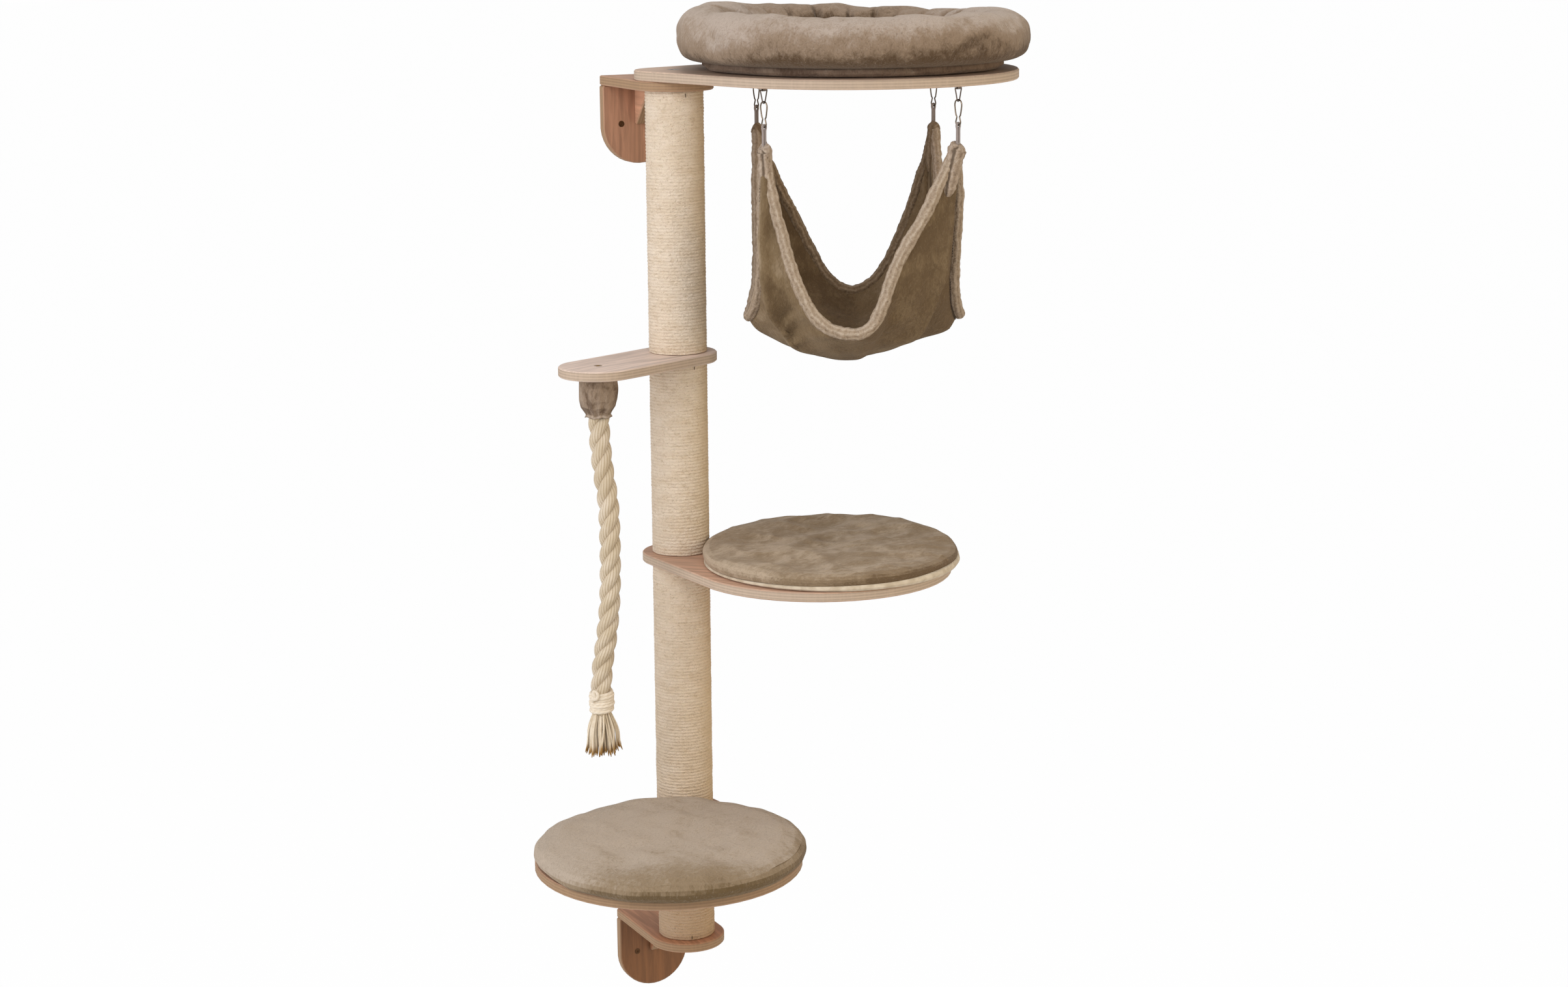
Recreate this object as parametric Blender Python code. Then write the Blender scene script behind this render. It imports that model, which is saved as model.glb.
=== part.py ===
"""Wall-mounted cat tree: two wall brackets hold a wound post with three shelves, a rope arm and a hammock.

Metres, +Z up. The wall is the plane y = 0 and the tree stands out towards -Y. The origin is on the back
face of the lower wall plate, midway between its two screws, and the post's axis is straight in front of it.
"""

import math

import bmesh
import bpy
from mathutils import Matrix, Vector

# Gaps and cuts shared by every piece
FIT = 0.0003
OVERRUN = 0.003

# Boards: one plywood thickness for shelves, arms, wall plates and gussets
BOARD = 0.015
BOARD_EDGE = 0.0016
SMALL_END_RADIUS = 0.060
CORNER_RADIUS = 0.004

# Post
POST_RADIUS = 0.045
SISAL_THICKNESS = 0.005
SISAL_EDGE = 0.0015
LOWEST_SEGMENT_LENGTH = 0.195
LOWER_SEGMENT_LENGTH = 0.405
UPPER_SEGMENT_LENGTH = 0.300
TOP_SEGMENT_LENGTH = 0.400

# Wall brackets
STANDOFF = 0.147
PLATE_HEIGHT = 0.122
SCREW_DROP = 0.060
SCREW_SPACING = 0.060
GUSSET_DROP = 0.061
GUSSET_REACH = 0.053
GUSSET_TIP_RADIUS = 0.003

# Shelves: direction seen from above, reach from the post's axis to the round part's centre, its radius
TOP_SHELF_TURN = math.radians(-28)
TOP_SHELF_REACH = 0.270
TOP_SHELF_RADIUS = 0.250
MIDDLE_SHELF_TURN = math.radians(-46)
LOWER_SHELF_TURN = math.radians(-121)
SHELF_REACH = 0.228
SHELF_RADIUS = 0.203
ROPE_ARM_TURN = math.radians(-158.4)
ROPE_ARM_REACH = 0.173

# Studs and countersunk bolts that clamp the post through the boards
STUD_RADIUS = 0.005
STUD_DEPTH = 0.030
BOLT_HEAD_RADIUS = 0.0095
BOLT_HEAD_DEPTH = 0.0055

# Countersunk screws
WALL_SCREW_RADIUS = 0.0024
WALL_SCREW_HEAD_RADIUS = 0.0048
WALL_SCREW_HEAD_DEPTH = 0.0028
ROPE_SCREW_RADIUS = 0.0035
ROPE_SCREW_HEAD_RADIUS = 0.0060
ROPE_SCREW_HEAD_DEPTH = 0.0030
ROPE_SCREW_LENGTH = 0.045

# Rope, its plush cuff, the whipping and the frayed end
ROPE_DIAMETER = 0.030
ROPE_PIVOT_DROP = 0.0025
CUFF_RADIUS = 0.029
CUFF_NECK_RADIUS = 0.0180
CUFF_LENGTH = 0.0635
CUFF_GATHER_COUNT = 12
GATHER_DEPTH = 0.0010
WHIPPING_RADIUS = 0.0188
WHIPPING_LENGTH = 0.0352
WHIPPING_RIB_COUNT = 4
WHIPPING_RIB_DEPTH = 0.0007
TASSEL_LENGTH = 0.0700
TASSEL_RADIUS = 0.0285
TASSEL_NOTCH = 0.0040
TASSEL_LOCK_COUNT = 8

# Drop of the rope below the cuff's mouth and its sideways drift there
ROPE_DRIFT_TURN = math.radians(-24.6)
ROPE_ROUTE = (
    (0.0000, 0.0000),
    (0.0280, 0.0000),
    (0.0785, 0.0042),
    (0.1290, 0.0107),
    (0.1815, 0.0122),
    (0.2415, 0.0117),
    (0.2915, 0.0093),
    (0.3415, 0.0037),
    (0.3815, -0.0026),
    (0.4195, -0.0054),
    (0.4577, -0.0054),
)

# Bed on the top shelf: a bolster ring on a flat base cushion
BED_RADIUS = 0.2685
BOLSTER_WIDTH = 0.088
BOLSTER_HEIGHT = 0.080
BOLSTER_GATHER_COUNT = 24
BOLSTER_GATHER_DEPTH = 0.0028
BOLSTER_LEAN_SHARE = 0.02
BED_BASE_INSET = 0.0295
BED_BASE_RIM = 0.013
BED_BASE_CROWN = 0.031

# Cushions on the other two shelves
PAD_RADIUS = 0.200
PAD_HEIGHT = 0.029
PAD_RIM = 0.020
PAD_FLANGE = 0.0035
CUSHION_TURN = math.radians(-119.6)
CUSHION_RADIUS = 0.205
CUSHION_HEIGHT = 0.047
CUSHION_RIM = 0.020
CUSHION_POST_GAP = 0.0025

# Hammock hardware under the top shelf
HANGER_TURN = math.radians(-24.3)
HANGER_LENGTH_SHARE = 0.564
HANGER_BACK_SHARE = 0.99
HANGER_DEPTH_SHARE = 0.724
RING_TWIST = math.radians(45)
HOLDER_LENGTH = 0.017
HOLDER_WIDTH = 0.012
HOLDER_SHEET = 0.0012
HOLDER_LUG_LENGTH = 0.007
RING_WIRE = 0.0010
RING_WIDTH = 0.0150
RING_HEIGHT = 0.0195
RING_CORNER = 0.0014
RING_APEX = 0.0026
HOOK_WIRE = 0.0011
HOOK_LENGTH = 0.0393
HOOK_WIDTH = 0.0133
HOOK_EYE_WIDTH = 0.0094
HOOK_NECK_WIDTH = 0.0052
HOOK_NECK_LIFT_SHARE = 2.5
LOOP_CORD = 0.0019
LOOP_DROP = 0.0275

# Hammock sling
SLING_DEPTH = 0.330
SLING_THICKNESS = 0.014
SLING_MIDDLE_SHARE = 0.6
SLING_TIP_SHARE = 0.05
SLING_LIFT_SHARE = 0.09
SLING_LEAN_SHARE = 0.12
SIDE_LOW_SHARE = 0.18
SIDE_POWER = 1.84
SIDE_CORNER = 0.017
SIDE_CORNER_SHARE = 0.30
EDGE_BOW_SHARE = 0.10
# How far out and how full the cloth hangs, under the low edges and under the tips
SPREAD_SHARES = (0.75, 1.015)
FULLNESS_SHARES = (0.60, 1.98)
# Front and back edge: height of the low point, its place along the edge, steepness left and right of it
FRONT_EDGE_SHARES = (0.154, -0.112, 2.94, 1.47)
BACK_EDGE_SHARES = (0.176, 0.1255, 1.85, 2.36)

# Roundness of the meshes
SHELF_STEPS = 54
BOARD_STEPS = 38
POST_SIDES = 36
BOLT_SIDES = 14
WIRE_BEVEL_COUNT = 1

# Levels of the touching faces, from the bottom up
LOWER_ARM_UNDER = SCREW_DROP
LOWER_ARM_TOP = LOWER_ARM_UNDER + BOARD
LOWER_SHELF_UNDER = LOWER_ARM_TOP + LOWEST_SEGMENT_LENGTH
LOWER_SHELF_TOP = LOWER_SHELF_UNDER + BOARD
MIDDLE_SHELF_UNDER = LOWER_SHELF_TOP + LOWER_SEGMENT_LENGTH
MIDDLE_SHELF_TOP = MIDDLE_SHELF_UNDER + BOARD
ROPE_ARM_UNDER = MIDDLE_SHELF_TOP + UPPER_SEGMENT_LENGTH
ROPE_ARM_TOP = ROPE_ARM_UNDER + BOARD
UPPER_ARM_UNDER = ROPE_ARM_TOP + TOP_SEGMENT_LENGTH
UPPER_ARM_TOP = UPPER_ARM_UNDER + BOARD
TOP_SHELF_TOP = UPPER_ARM_TOP + BOARD
HANGER_HALF_LENGTH = TOP_SHELF_RADIUS * HANGER_LENGTH_SHARE
HANGER_HALF_DEPTH = TOP_SHELF_RADIUS * HANGER_DEPTH_SHARE

POST_AXIS = Vector((0, -STANDOFF, 0))
CORE_RADIUS = POST_RADIUS - SISAL_THICKNESS - FIT
ROPE_RADIUS = ROPE_DIAMETER / 2
CUFF_MOUTH = ROPE_ARM_UNDER - CUFF_LENGTH


def clear_scene():
    for thing in list(bpy.data.objects):
        bpy.data.objects.remove(thing)


def finish(name, colour, roughness, metallic=0.0):
    """A plain material with the colour, roughness and metal share of one piece."""
    material = bpy.data.materials.new(name)
    material.use_nodes = True
    shader = material.node_tree.nodes["Principled BSDF"]
    shader.inputs["Base Color"].default_value = (*colour, 1.0)
    shader.inputs["Roughness"].default_value = roughness
    shader.inputs["Metallic"].default_value = metallic
    material.diffuse_color = (*colour, 1.0)
    return material


def add(name, data, material, place=Matrix.Identity(4)):
    """A named object whose own axes are put at the given place."""
    thing = bpy.data.objects.new(name, data)
    bpy.context.scene.collection.objects.link(thing)
    thing.matrix_world = place
    data.materials.append(material)
    return thing


def mesh_of(name, bm):
    bmesh.ops.recalc_face_normals(bm, faces=bm.faces)
    mesh = bpy.data.meshes.new(name)
    bm.to_mesh(mesh)
    bm.free()
    mesh.shade_smooth()
    mesh.set_sharp_from_angle(angle=math.radians(35))
    return mesh


def turned(angle, point):
    """A place at a point of the world, turned about the vertical."""
    return Matrix.Translation(point) @ Matrix.Rotation(angle, 4, "Z")


def heading(angle):
    return Vector((math.cos(angle), math.sin(angle), 0))


def hull_outline(circles, steps):
    """The taut outline round some circles (x, y, radius), read once for each direction."""
    points = []
    for step in range(steps):
        angle = math.tau * (step + 0.5) / steps
        out = Vector((math.cos(angle), math.sin(angle)))
        x, y, radius = max(circles, key=lambda c: out.dot(Vector(c[:2])) + c[2])
        points.append(Vector((x, y)) + radius * out)
    return points


def slab_mesh(name, outline, low, high, edge=BOARD_EDGE):
    """A board: the outline extruded from low to high, with its rims rounded over."""
    bm = bmesh.new()
    base = bm.faces.new([bm.verts.new((x, y, low)) for x, y in outline])
    up = bmesh.ops.extrude_face_region(bm, geom=[base])
    risen = [v for v in up["geom"] if isinstance(v, bmesh.types.BMVert)]
    bmesh.ops.translate(bm, vec=(0, 0, high - low), verts=risen)
    rims = [e for e in bm.edges if abs(e.verts[0].co.z - e.verts[1].co.z) < edge]
    bmesh.ops.bevel(bm, geom=rims, offset=edge, segments=1, profile=0.5, affect="EDGES", material=-1)
    return mesh_of(name, bm)


def lathe_mesh(name, profile, sides):
    """A solid turned about Z. The profile (radius, z) starts and ends on the axis, or closes on itself."""
    bm = bmesh.new()
    verts = [bm.verts.new((radius, 0, z)) for radius, z in profile]
    closed = profile[0][0] > 0
    pairs = list(zip(verts, verts[1:])) + ([(verts[-1], verts[0])] if closed else [])
    edges = [bm.edges.new(pair) for pair in pairs]
    bmesh.ops.spin(
        bm, geom=verts + edges, axis=(0, 0, 1), cent=(0, 0, 0), angle=math.tau, steps=sides, use_merge=True
    )
    bmesh.ops.remove_doubles(bm, verts=bm.verts, dist=FIT / 100)
    return mesh_of(name, bm)


def wrapped_mesh(name, place, across, along, weld=FIT / 10):
    """A grid wrapped round: place(turn, share) takes shares from 0 to 1, and turn closes on itself."""
    bm = bmesh.new()
    bmesh.ops.create_grid(bm, x_segments=across, y_segments=along, size=1)
    for vert in bm.verts:
        vert.co = place((vert.co.x + 1) / 2 % 1, (vert.co.y + 1) / 2)
    bmesh.ops.remove_doubles(bm, verts=bm.verts, dist=weld)
    return mesh_of(name, bm)


def wire_data(name, points, radius, closed, shares=None):
    """A round wire or rope along points; shares thin it point by point."""
    data = bpy.data.curves.new(name, "CURVE")
    data.dimensions = "3D"
    data.bevel_depth = radius
    data.bevel_resolution = WIRE_BEVEL_COUNT if closed else 2
    data.use_fill_caps = True
    spline = data.splines.new("POLY")
    spline.points.add(len(points) - 1)
    for index, point in enumerate(points):
        spline.points[index].co = (*point, 1)
        spline.points[index].radius = shares[index] if shares else 1
    spline.use_cyclic_u = closed
    return data


def smooth_between(before, start, end, after, share):
    """A point of the curve that runs evenly through four points."""
    bend = 2 * start + (end - before) * share
    bend += (2 * before - 5 * start + 4 * end - after) * share**2
    bend += (3 * start - before - 3 * end + after) * share**3
    return bend / 2


def smooth_loop(points, steps):
    """A closed smooth curve through the points, with some steps in each span."""
    count = len(points)
    loop = []
    for index in range(count):
        around = [points[(index + shift) % count] for shift in (-1, 0, 1, 2)]
        loop += [smooth_between(*around, step / steps) for step in range(steps)]
    return loop


def smooth_route(points, spacing):
    """An open smooth curve through the points, read again at an even spacing."""
    ends = [2 * points[0] - points[1], *points, 2 * points[-1] - points[-2]]
    fine = []
    steps = 12
    for index in range(len(points) - 1):
        fine += [smooth_between(*ends[index : index + 4], step / steps) for step in range(steps)]
    fine.append(points[-1])
    length = sum((b - a).length for a, b in zip(fine, fine[1:]))
    wanted = max(2, round(length / spacing))
    route = [fine[0]]
    travelled = 0.0
    for a, b in zip(fine, fine[1:]):
        travelled += (b - a).length
        if travelled >= length * len(route) / wanted and len(route) < wanted:
            route.append(b)
    route.append(fine[-1])
    return route


def cut(thing, cutter):
    cutter.hide_render = True
    cutter.display_type = "WIRE"
    opening = thing.modifiers.new("opening", "BOOLEAN")
    opening.operation = "DIFFERENCE"
    opening.object = cutter


def bore(thing, radius, low, high, place, sides=BOLT_SIDES):
    """A round hole through a board, along the place's own Z."""
    profile = [(0, high + OVERRUN), (radius, high + OVERRUN), (radius, low - OVERRUN), (0, low - OVERRUN)]
    cutter = add(thing.name + "_bore", lathe_mesh("bore", profile, sides), STEEL, place)
    cut(thing, cutter)


def screw_profile(head_radius, head_depth, shank_radius, length, grow=0.0, lift=0.0):
    """A countersunk screw that points down from z = 0, grown on every side for its hole."""
    socket = shank_radius * 0.9
    solid = [(0, -head_depth * 0.55), (socket, -head_depth * 0.35), (socket, 0)]
    start = [(0, lift)] if lift else solid
    cone = [
        (head_radius + grow, lift),
        (head_radius + grow, -head_depth * 0.15),
        (shank_radius + grow, -head_depth - grow),
        (shank_radius + grow, -length - grow),
        (0, -length - grow),
    ]
    return start + cone


def screw(name, material, place, head_radius, head_depth, shank_radius, length, boards):
    """A countersunk screw or bolt, and its hole in each board that it passes."""
    sizes = (head_radius, head_depth, shank_radius, length)
    profile = screw_profile(*sizes)
    piece = add(name, lathe_mesh(name, profile, BOLT_SIDES), material, place)
    hole = screw_profile(*sizes, grow=FIT, lift=OVERRUN)
    hole[-2:] = [(shank_radius + FIT, -length - OVERRUN), (0, -length - OVERRUN)]
    cutter = add(name + "_hole", lathe_mesh("hole", hole, BOLT_SIDES), material, place)
    for board in boards:
        cut(board, cutter)
    return piece


def shelf(name, turn, reach, radius, under, steps=SHELF_STEPS):
    """A teardrop board: a small round end on the post and a large round part beyond it."""
    outline = hull_outline([(0, 0, SMALL_END_RADIUS), (reach, 0, radius)], steps)
    mesh = slab_mesh(name, outline, under + FIT, under + BOARD)
    return add(name, mesh, PLYWOOD, turned(turn, POST_AXIS))


def bracket(level, under):
    """A wall bracket: arm, wall plate below it, gusset between them, and the two wall screws."""
    inset = SMALL_END_RADIUS - CORNER_RADIUS
    ends = [(0, 0, SMALL_END_RADIUS)]
    ends += [(side * inset, STANDOFF - CORNER_RADIUS, CORNER_RADIUS) for side in (-1, 1)]
    arm_mesh = slab_mesh(level + "_arm", hull_outline(ends, BOARD_STEPS), under + FIT, under + BOARD)
    arm = add(level + "_bracket_arm", arm_mesh, PLYWOOD, Matrix.Translation(POST_AXIS))

    # Seen from the front, the plate's outline lies in its own XY and its thickness runs out of the wall
    upright = Matrix.Translation((0, 0, under)) @ Matrix.Rotation(math.radians(90), 4, "X")
    round_end = SMALL_END_RADIUS
    corners = [(0, round_end - PLATE_HEIGHT, round_end)]
    corners += [(side * inset, -CORNER_RADIUS, CORNER_RADIUS) for side in (-1, 1)]
    plate_mesh = slab_mesh(level + "_plate", hull_outline(corners, BOARD_STEPS), 0, BOARD)
    plate = add(level + "_wall_plate", plate_mesh, PLYWOOD, upright)

    tip = GUSSET_TIP_RADIUS
    front = BOARD + FIT + tip
    corners = [(front, -tip - FIT, tip), (BOARD + GUSSET_REACH - tip, -tip - FIT, tip), (front, tip - GUSSET_DROP, tip)]
    gusset_mesh = slab_mesh(level + "_gusset", hull_outline(corners, BOARD_STEPS // 3), -BOARD / 2, BOARD / 2)
    sideways = Matrix.Translation((0, 0, under)) @ Matrix.Rotation(math.radians(90), 4, "X")
    sideways = sideways @ Matrix.Rotation(math.radians(-90), 4, "Y")
    add(level + "_gusset", gusset_mesh, PLYWOOD, sideways)

    for side, word in ((-1, "left"), (1, "right")):
        place = Matrix.Translation((side * SCREW_SPACING / 2, -BOARD, under - SCREW_DROP))
        place = place @ Matrix.Rotation(math.radians(90), 4, "X")
        sizes = (WALL_SCREW_HEAD_RADIUS, WALL_SCREW_HEAD_DEPTH, WALL_SCREW_RADIUS, BOARD - FIT)
        screw(f"wall_screw_{level}_{word}", ZINC, place, *sizes, [plate])
    return arm


def post_segment(number, under, length):
    """A round core bored at both ends for the studs, in a wound sisal sleeve."""
    low = under + FIT
    high = under + length
    hole = STUD_RADIUS + FIT
    depth = STUD_DEPTH + 2 * FIT
    core = [(0, high - depth), (hole, high - depth), (hole, high), (CORE_RADIUS, high)]
    core += [(CORE_RADIUS, low), (hole, low), (hole, low + depth), (0, low + depth)]
    place = Matrix.Translation(POST_AXIS)
    add(f"post_core_{number}", lathe_mesh("core", core, POST_SIDES // 2), CORE, place)
    inner = POST_RADIUS - SISAL_THICKNESS
    rim = POST_RADIUS - SISAL_EDGE
    sleeve = [(inner, high), (rim, high), (POST_RADIUS, high - SISAL_EDGE)]
    sleeve += [(POST_RADIUS, low + SISAL_EDGE), (rim, low), (inner, low)]
    add(f"sisal_winding_{number}", lathe_mesh("sleeve", sleeve, POST_SIDES), SISAL, place)


def joining_stud(name, board, under):
    """A stud through a clamped board, screwed into the cores above and below it."""
    low = under - STUD_DEPTH
    high = under + BOARD + STUD_DEPTH
    rod = [(0, high), (STUD_RADIUS, high), (STUD_RADIUS, low), (0, low)]
    place = Matrix.Translation(POST_AXIS)
    add(name, lathe_mesh(name, rod, BOLT_SIDES), STEEL, place)
    bore(board, STUD_RADIUS + FIT, under, under + BOARD, place)


def cushion_place(radius, profile, ripple, waves):
    """Places a round cushion's points: the profile (radius share, height) runs from below to above."""

    def place(turn, share):
        at = share * (len(profile) - 1)
        index = min(int(at), len(profile) - 2)
        mix = at - index
        out = profile[index][0] * (1 - mix) + profile[index + 1][0] * mix
        height = profile[index][1] * (1 - mix) + profile[index + 1][1] * mix
        angle = math.tau * turn
        swell = 1 + ripple / radius * math.sin(waves * angle) * (out > 0.5)
        reach = radius * out * swell
        return Vector((reach * math.cos(angle), reach * math.sin(angle), height))

    return place


def bed(centre):
    """The donut bed: a flat base cushion and a gathered bolster ring sewn on its rim."""
    base = [(0, FIT), (0.7, FIT), (0.96, FIT), (1.0, BED_BASE_RIM * 0.3), (1.0, BED_BASE_RIM * 0.75)]
    base += [(0.97, BED_BASE_RIM), (0.6, BED_BASE_RIM), (0.5, BED_BASE_CROWN * 0.8), (0.25, BED_BASE_CROWN * 0.97)]
    base += [(0, BED_BASE_CROWN)]
    place = cushion_place(BED_RADIUS - BED_BASE_INSET, base, 0, 1)
    add("bed_base_cushion", wrapped_mesh("base", place, 48, 9), PLUSH, turned(TOP_SHELF_TURN, centre))

    middle = BED_RADIUS - BOLSTER_WIDTH / 2
    rise = BED_BASE_RIM + FIT + BOLSTER_HEIGHT / 2

    def ring(turn, share):
        around = math.tau * turn
        about = math.tau * share
        out = math.copysign(abs(math.cos(about)) ** 0.85, math.cos(about))
        up = math.copysign(abs(math.sin(about)) ** 0.85, math.sin(about))
        inward = max(0.0, -out) ** 0.5
        pleat = BOLSTER_GATHER_DEPTH * inward * math.cos(BOLSTER_GATHER_COUNT * around)
        reach = middle + out * BOLSTER_WIDTH / 2 + pleat
        lean = 1 - BOLSTER_LEAN_SHARE * up
        return Vector((reach * lean * math.cos(around), reach * lean * math.sin(around), rise + up * BOLSTER_HEIGHT / 2))

    mesh = wrapped_mesh("bolster", ring, 3 * BOLSTER_GATHER_COUNT, 12)
    bmesh_closed = bmesh.new()
    bmesh_closed.from_mesh(mesh)
    bmesh.ops.remove_doubles(bmesh_closed, verts=bmesh_closed.verts, dist=FIT)
    add("bed_bolster", mesh_of("bolster", bmesh_closed), PLUSH, turned(TOP_SHELF_TURN, centre))


def pad(name, turn, top, radius, profile, ripple, waves, across):
    """A round cushion on a shelf, pushed out until it clears the post."""
    offset = radius + POST_RADIUS + CUSHION_POST_GAP
    centre = POST_AXIS + heading(turn) * offset + Vector((0, 0, top))
    place = cushion_place(radius, profile, ripple, waves)
    mesh = wrapped_mesh(name, place, across, len(profile) - 1)
    add(name, mesh, PLUSH, turned(turn, centre))


def rope_set():
    """The rope's screw, its clamped top inside the plush cuff, and the swinging rope with its frayed end."""
    arm_outline = hull_outline([(0, 0, SMALL_END_RADIUS), (ROPE_ARM_REACH, 0, SMALL_END_RADIUS)], BOARD_STEPS)
    arm_mesh = slab_mesh("rope_arm", arm_outline, ROPE_ARM_UNDER + FIT, ROPE_ARM_TOP)
    arm = add("rope_arm", arm_mesh, PLYWOOD, turned(ROPE_ARM_TURN, POST_AXIS))
    hang = POST_AXIS + heading(ROPE_ARM_TURN) * ROPE_ARM_REACH

    place = Matrix.Translation(hang + Vector((0, 0, ROPE_ARM_TOP)))
    sizes = (ROPE_SCREW_HEAD_RADIUS, ROPE_SCREW_HEAD_DEPTH, ROPE_SCREW_RADIUS, ROPE_SCREW_LENGTH)
    high = ROPE_ARM_UNDER
    low = CUFF_MOUTH - ROPE_PIVOT_DROP + ROPE_RADIUS + FIT
    stub = [(0, high), (ROPE_RADIUS, high), (ROPE_RADIUS, low), (0, low)]
    stub_piece = add("rope_clamped_end", lathe_mesh("stub", stub, BOLT_SIDES), ROPE, Matrix.Translation(hang))
    screw("rope_screw", ZINC, place, *sizes, [arm, stub_piece])

    hole = ROPE_RADIUS + FIT
    shares = [(0.0, 0.97), (0.12, 1.0), (0.45, 0.99), (0.68, 0.90), (0.88, 0.30), (0.94, 0.05), (1.0, 0.28)]

    def cuff(turn, share):
        at = share * (len(shares) + 1)
        index = round(at)
        angle = math.tau * turn
        inside = index == 0 or index == len(shares) + 1
        down, full = shares[max(0, min(len(shares) - 1, index - 1))]
        reach = CUFF_NECK_RADIUS + (CUFF_RADIUS - CUFF_NECK_RADIUS) * full
        reach += GATHER_DEPTH * down * math.cos(CUFF_GATHER_COUNT * angle) * min(1.0, 2 * down)
        reach = hole if inside else reach
        return Vector((reach * math.cos(angle), reach * math.sin(angle), high - CUFF_LENGTH * down))

    bm = bmesh.new()
    bmesh.ops.create_grid(bm, x_segments=3 * CUFF_GATHER_COUNT, y_segments=len(shares) + 1, size=1)
    for vert in bm.verts:
        vert.co = cuff((vert.co.x + 1) / 2 % 1, (vert.co.y + 1) / 2)
    bmesh.ops.remove_doubles(bm, verts=bm.verts, dist=FIT / 10)
    loops = [e for e in bm.edges if e.is_boundary]
    bmesh.ops.bridge_loops(bm, edges=loops)
    add("rope_cuff", mesh_of("cuff", bm), PLUSH, Matrix.Translation(hang))

    side = heading(ROPE_DRIFT_TURN)
    route = [side * drift - Vector((0, 0, drop)) for drop, drift in ROPE_ROUTE]
    dome_shares = (0.995, 0.9, 0.65, 0.35)
    dome = [Vector((0, 0, ROPE_RADIUS * share)) for share in dome_shares]
    points = dome + smooth_route(route[:-1], 1.5 * ROPE_DIAMETER) + route[-1:]
    thins = [math.sqrt(1 - share**2) for share in dome_shares] + [1] * (len(points) - len(dome))
    rope = wire_data("rope", points, ROPE_RADIUS, False, thins)
    pivot = Matrix.Translation(hang + Vector((0, 0, CUFF_MOUTH - ROPE_PIVOT_DROP)))
    add("rope", rope, ROPE, pivot)

    drop, drift = ROPE_ROUTE[-1]
    end = side * drift - Vector((0, 0, drop))
    band = [(hole, 0), (WHIPPING_RADIUS - WHIPPING_RIB_DEPTH, 0)]
    steps = 2 * WHIPPING_RIB_COUNT
    for step in range(1, steps):
        depth = WHIPPING_RIB_DEPTH * (step % 2 == 0)
        band.append((WHIPPING_RADIUS - depth, WHIPPING_LENGTH * step / steps))
    band += [(WHIPPING_RADIUS - WHIPPING_RIB_DEPTH, WHIPPING_LENGTH), (hole, WHIPPING_LENGTH)]
    add("rope_whipping", lathe_mesh("whipping", band, BOARD_STEPS // 2), ROPE, pivot @ Matrix.Translation(end))

    tassel_shares = [(0, 0), (0.50, 0), (0.56, 0.12), (0.72, 0.40), (0.88, 0.70), (1.0, 0.92), (0.9, 0.99), (0, 1.0)]

    def tassel(turn, share):
        out, down = tassel_shares[round(share * (len(tassel_shares) - 1))]
        angle = math.tau * turn
        lock = math.cos(TASSEL_LOCK_COUNT * angle) + 0.5 * math.cos(3 * angle + 1)
        reach = TASSEL_RADIUS * out + TASSEL_NOTCH * 0.5 * lock * down * (out > 0.4)
        sag = TASSEL_NOTCH * 0.5 * lock * down * (out > 0.4)
        return Vector((reach * math.cos(angle), reach * math.sin(angle), -FIT - (TASSEL_LENGTH + sag) * down))

    mesh = wrapped_mesh("tassel", tassel, 3 * TASSEL_LOCK_COUNT, len(tassel_shares) - 1)
    add("rope_tassel", mesh, ROPE, pivot @ Matrix.Translation(end))
    return arm


def hook_loop():
    """The snap hook's wire, from the wide bow that hangs in the ring to the small eye at its foot."""
    bow = HOOK_WIDTH / 2
    eye = HOOK_EYE_WIDTH / 2
    neck = HOOK_NECK_WIDTH / 2
    foot = 2 * HOOK_WIRE - HOOK_LENGTH
    half = [(bow * 0.70, -bow * 0.28), (bow, -bow), (bow * 0.93, foot * 0.35), (bow * 0.66, foot * 0.60)]
    half += [(neck, foot + HOOK_NECK_LIFT_SHARE * eye), (eye, foot + eye), (eye * 0.70, foot + eye * 0.28)]
    right = [(0, 0)] + half
    left = [(0, foot)] + [(-x, z) for x, z in reversed(half)]
    return smooth_loop([Vector((x, 0, z)) for x, z in right + left], 2)


def cord_loop():
    """The doubled cord: round the hook's eye at the top, its two legs side by side, closed at the foot."""
    bend = HOOK_WIRE + LOOP_CORD + FIT
    leg = LOOP_CORD + FIT / 2
    waist = math.acos(leg / bend)
    arc = [math.pi / 2 - (math.pi / 2 + waist) * step / 7 for step in range(8)]
    half = [(bend * math.cos(angle), bend * math.sin(angle)) for angle in arc]
    half += [(leg, -bend - leg), (leg, leg - LOOP_DROP)]
    half += [(leg * math.cos(math.radians(45)), leg * (1 - math.sin(math.radians(45))) - LOOP_DROP)]
    left = [(-x, z) for x, z in reversed(half[1:])]
    return [Vector((0, x, z)) for x, z in half + [(0, -LOOP_DROP)] + left]


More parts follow.
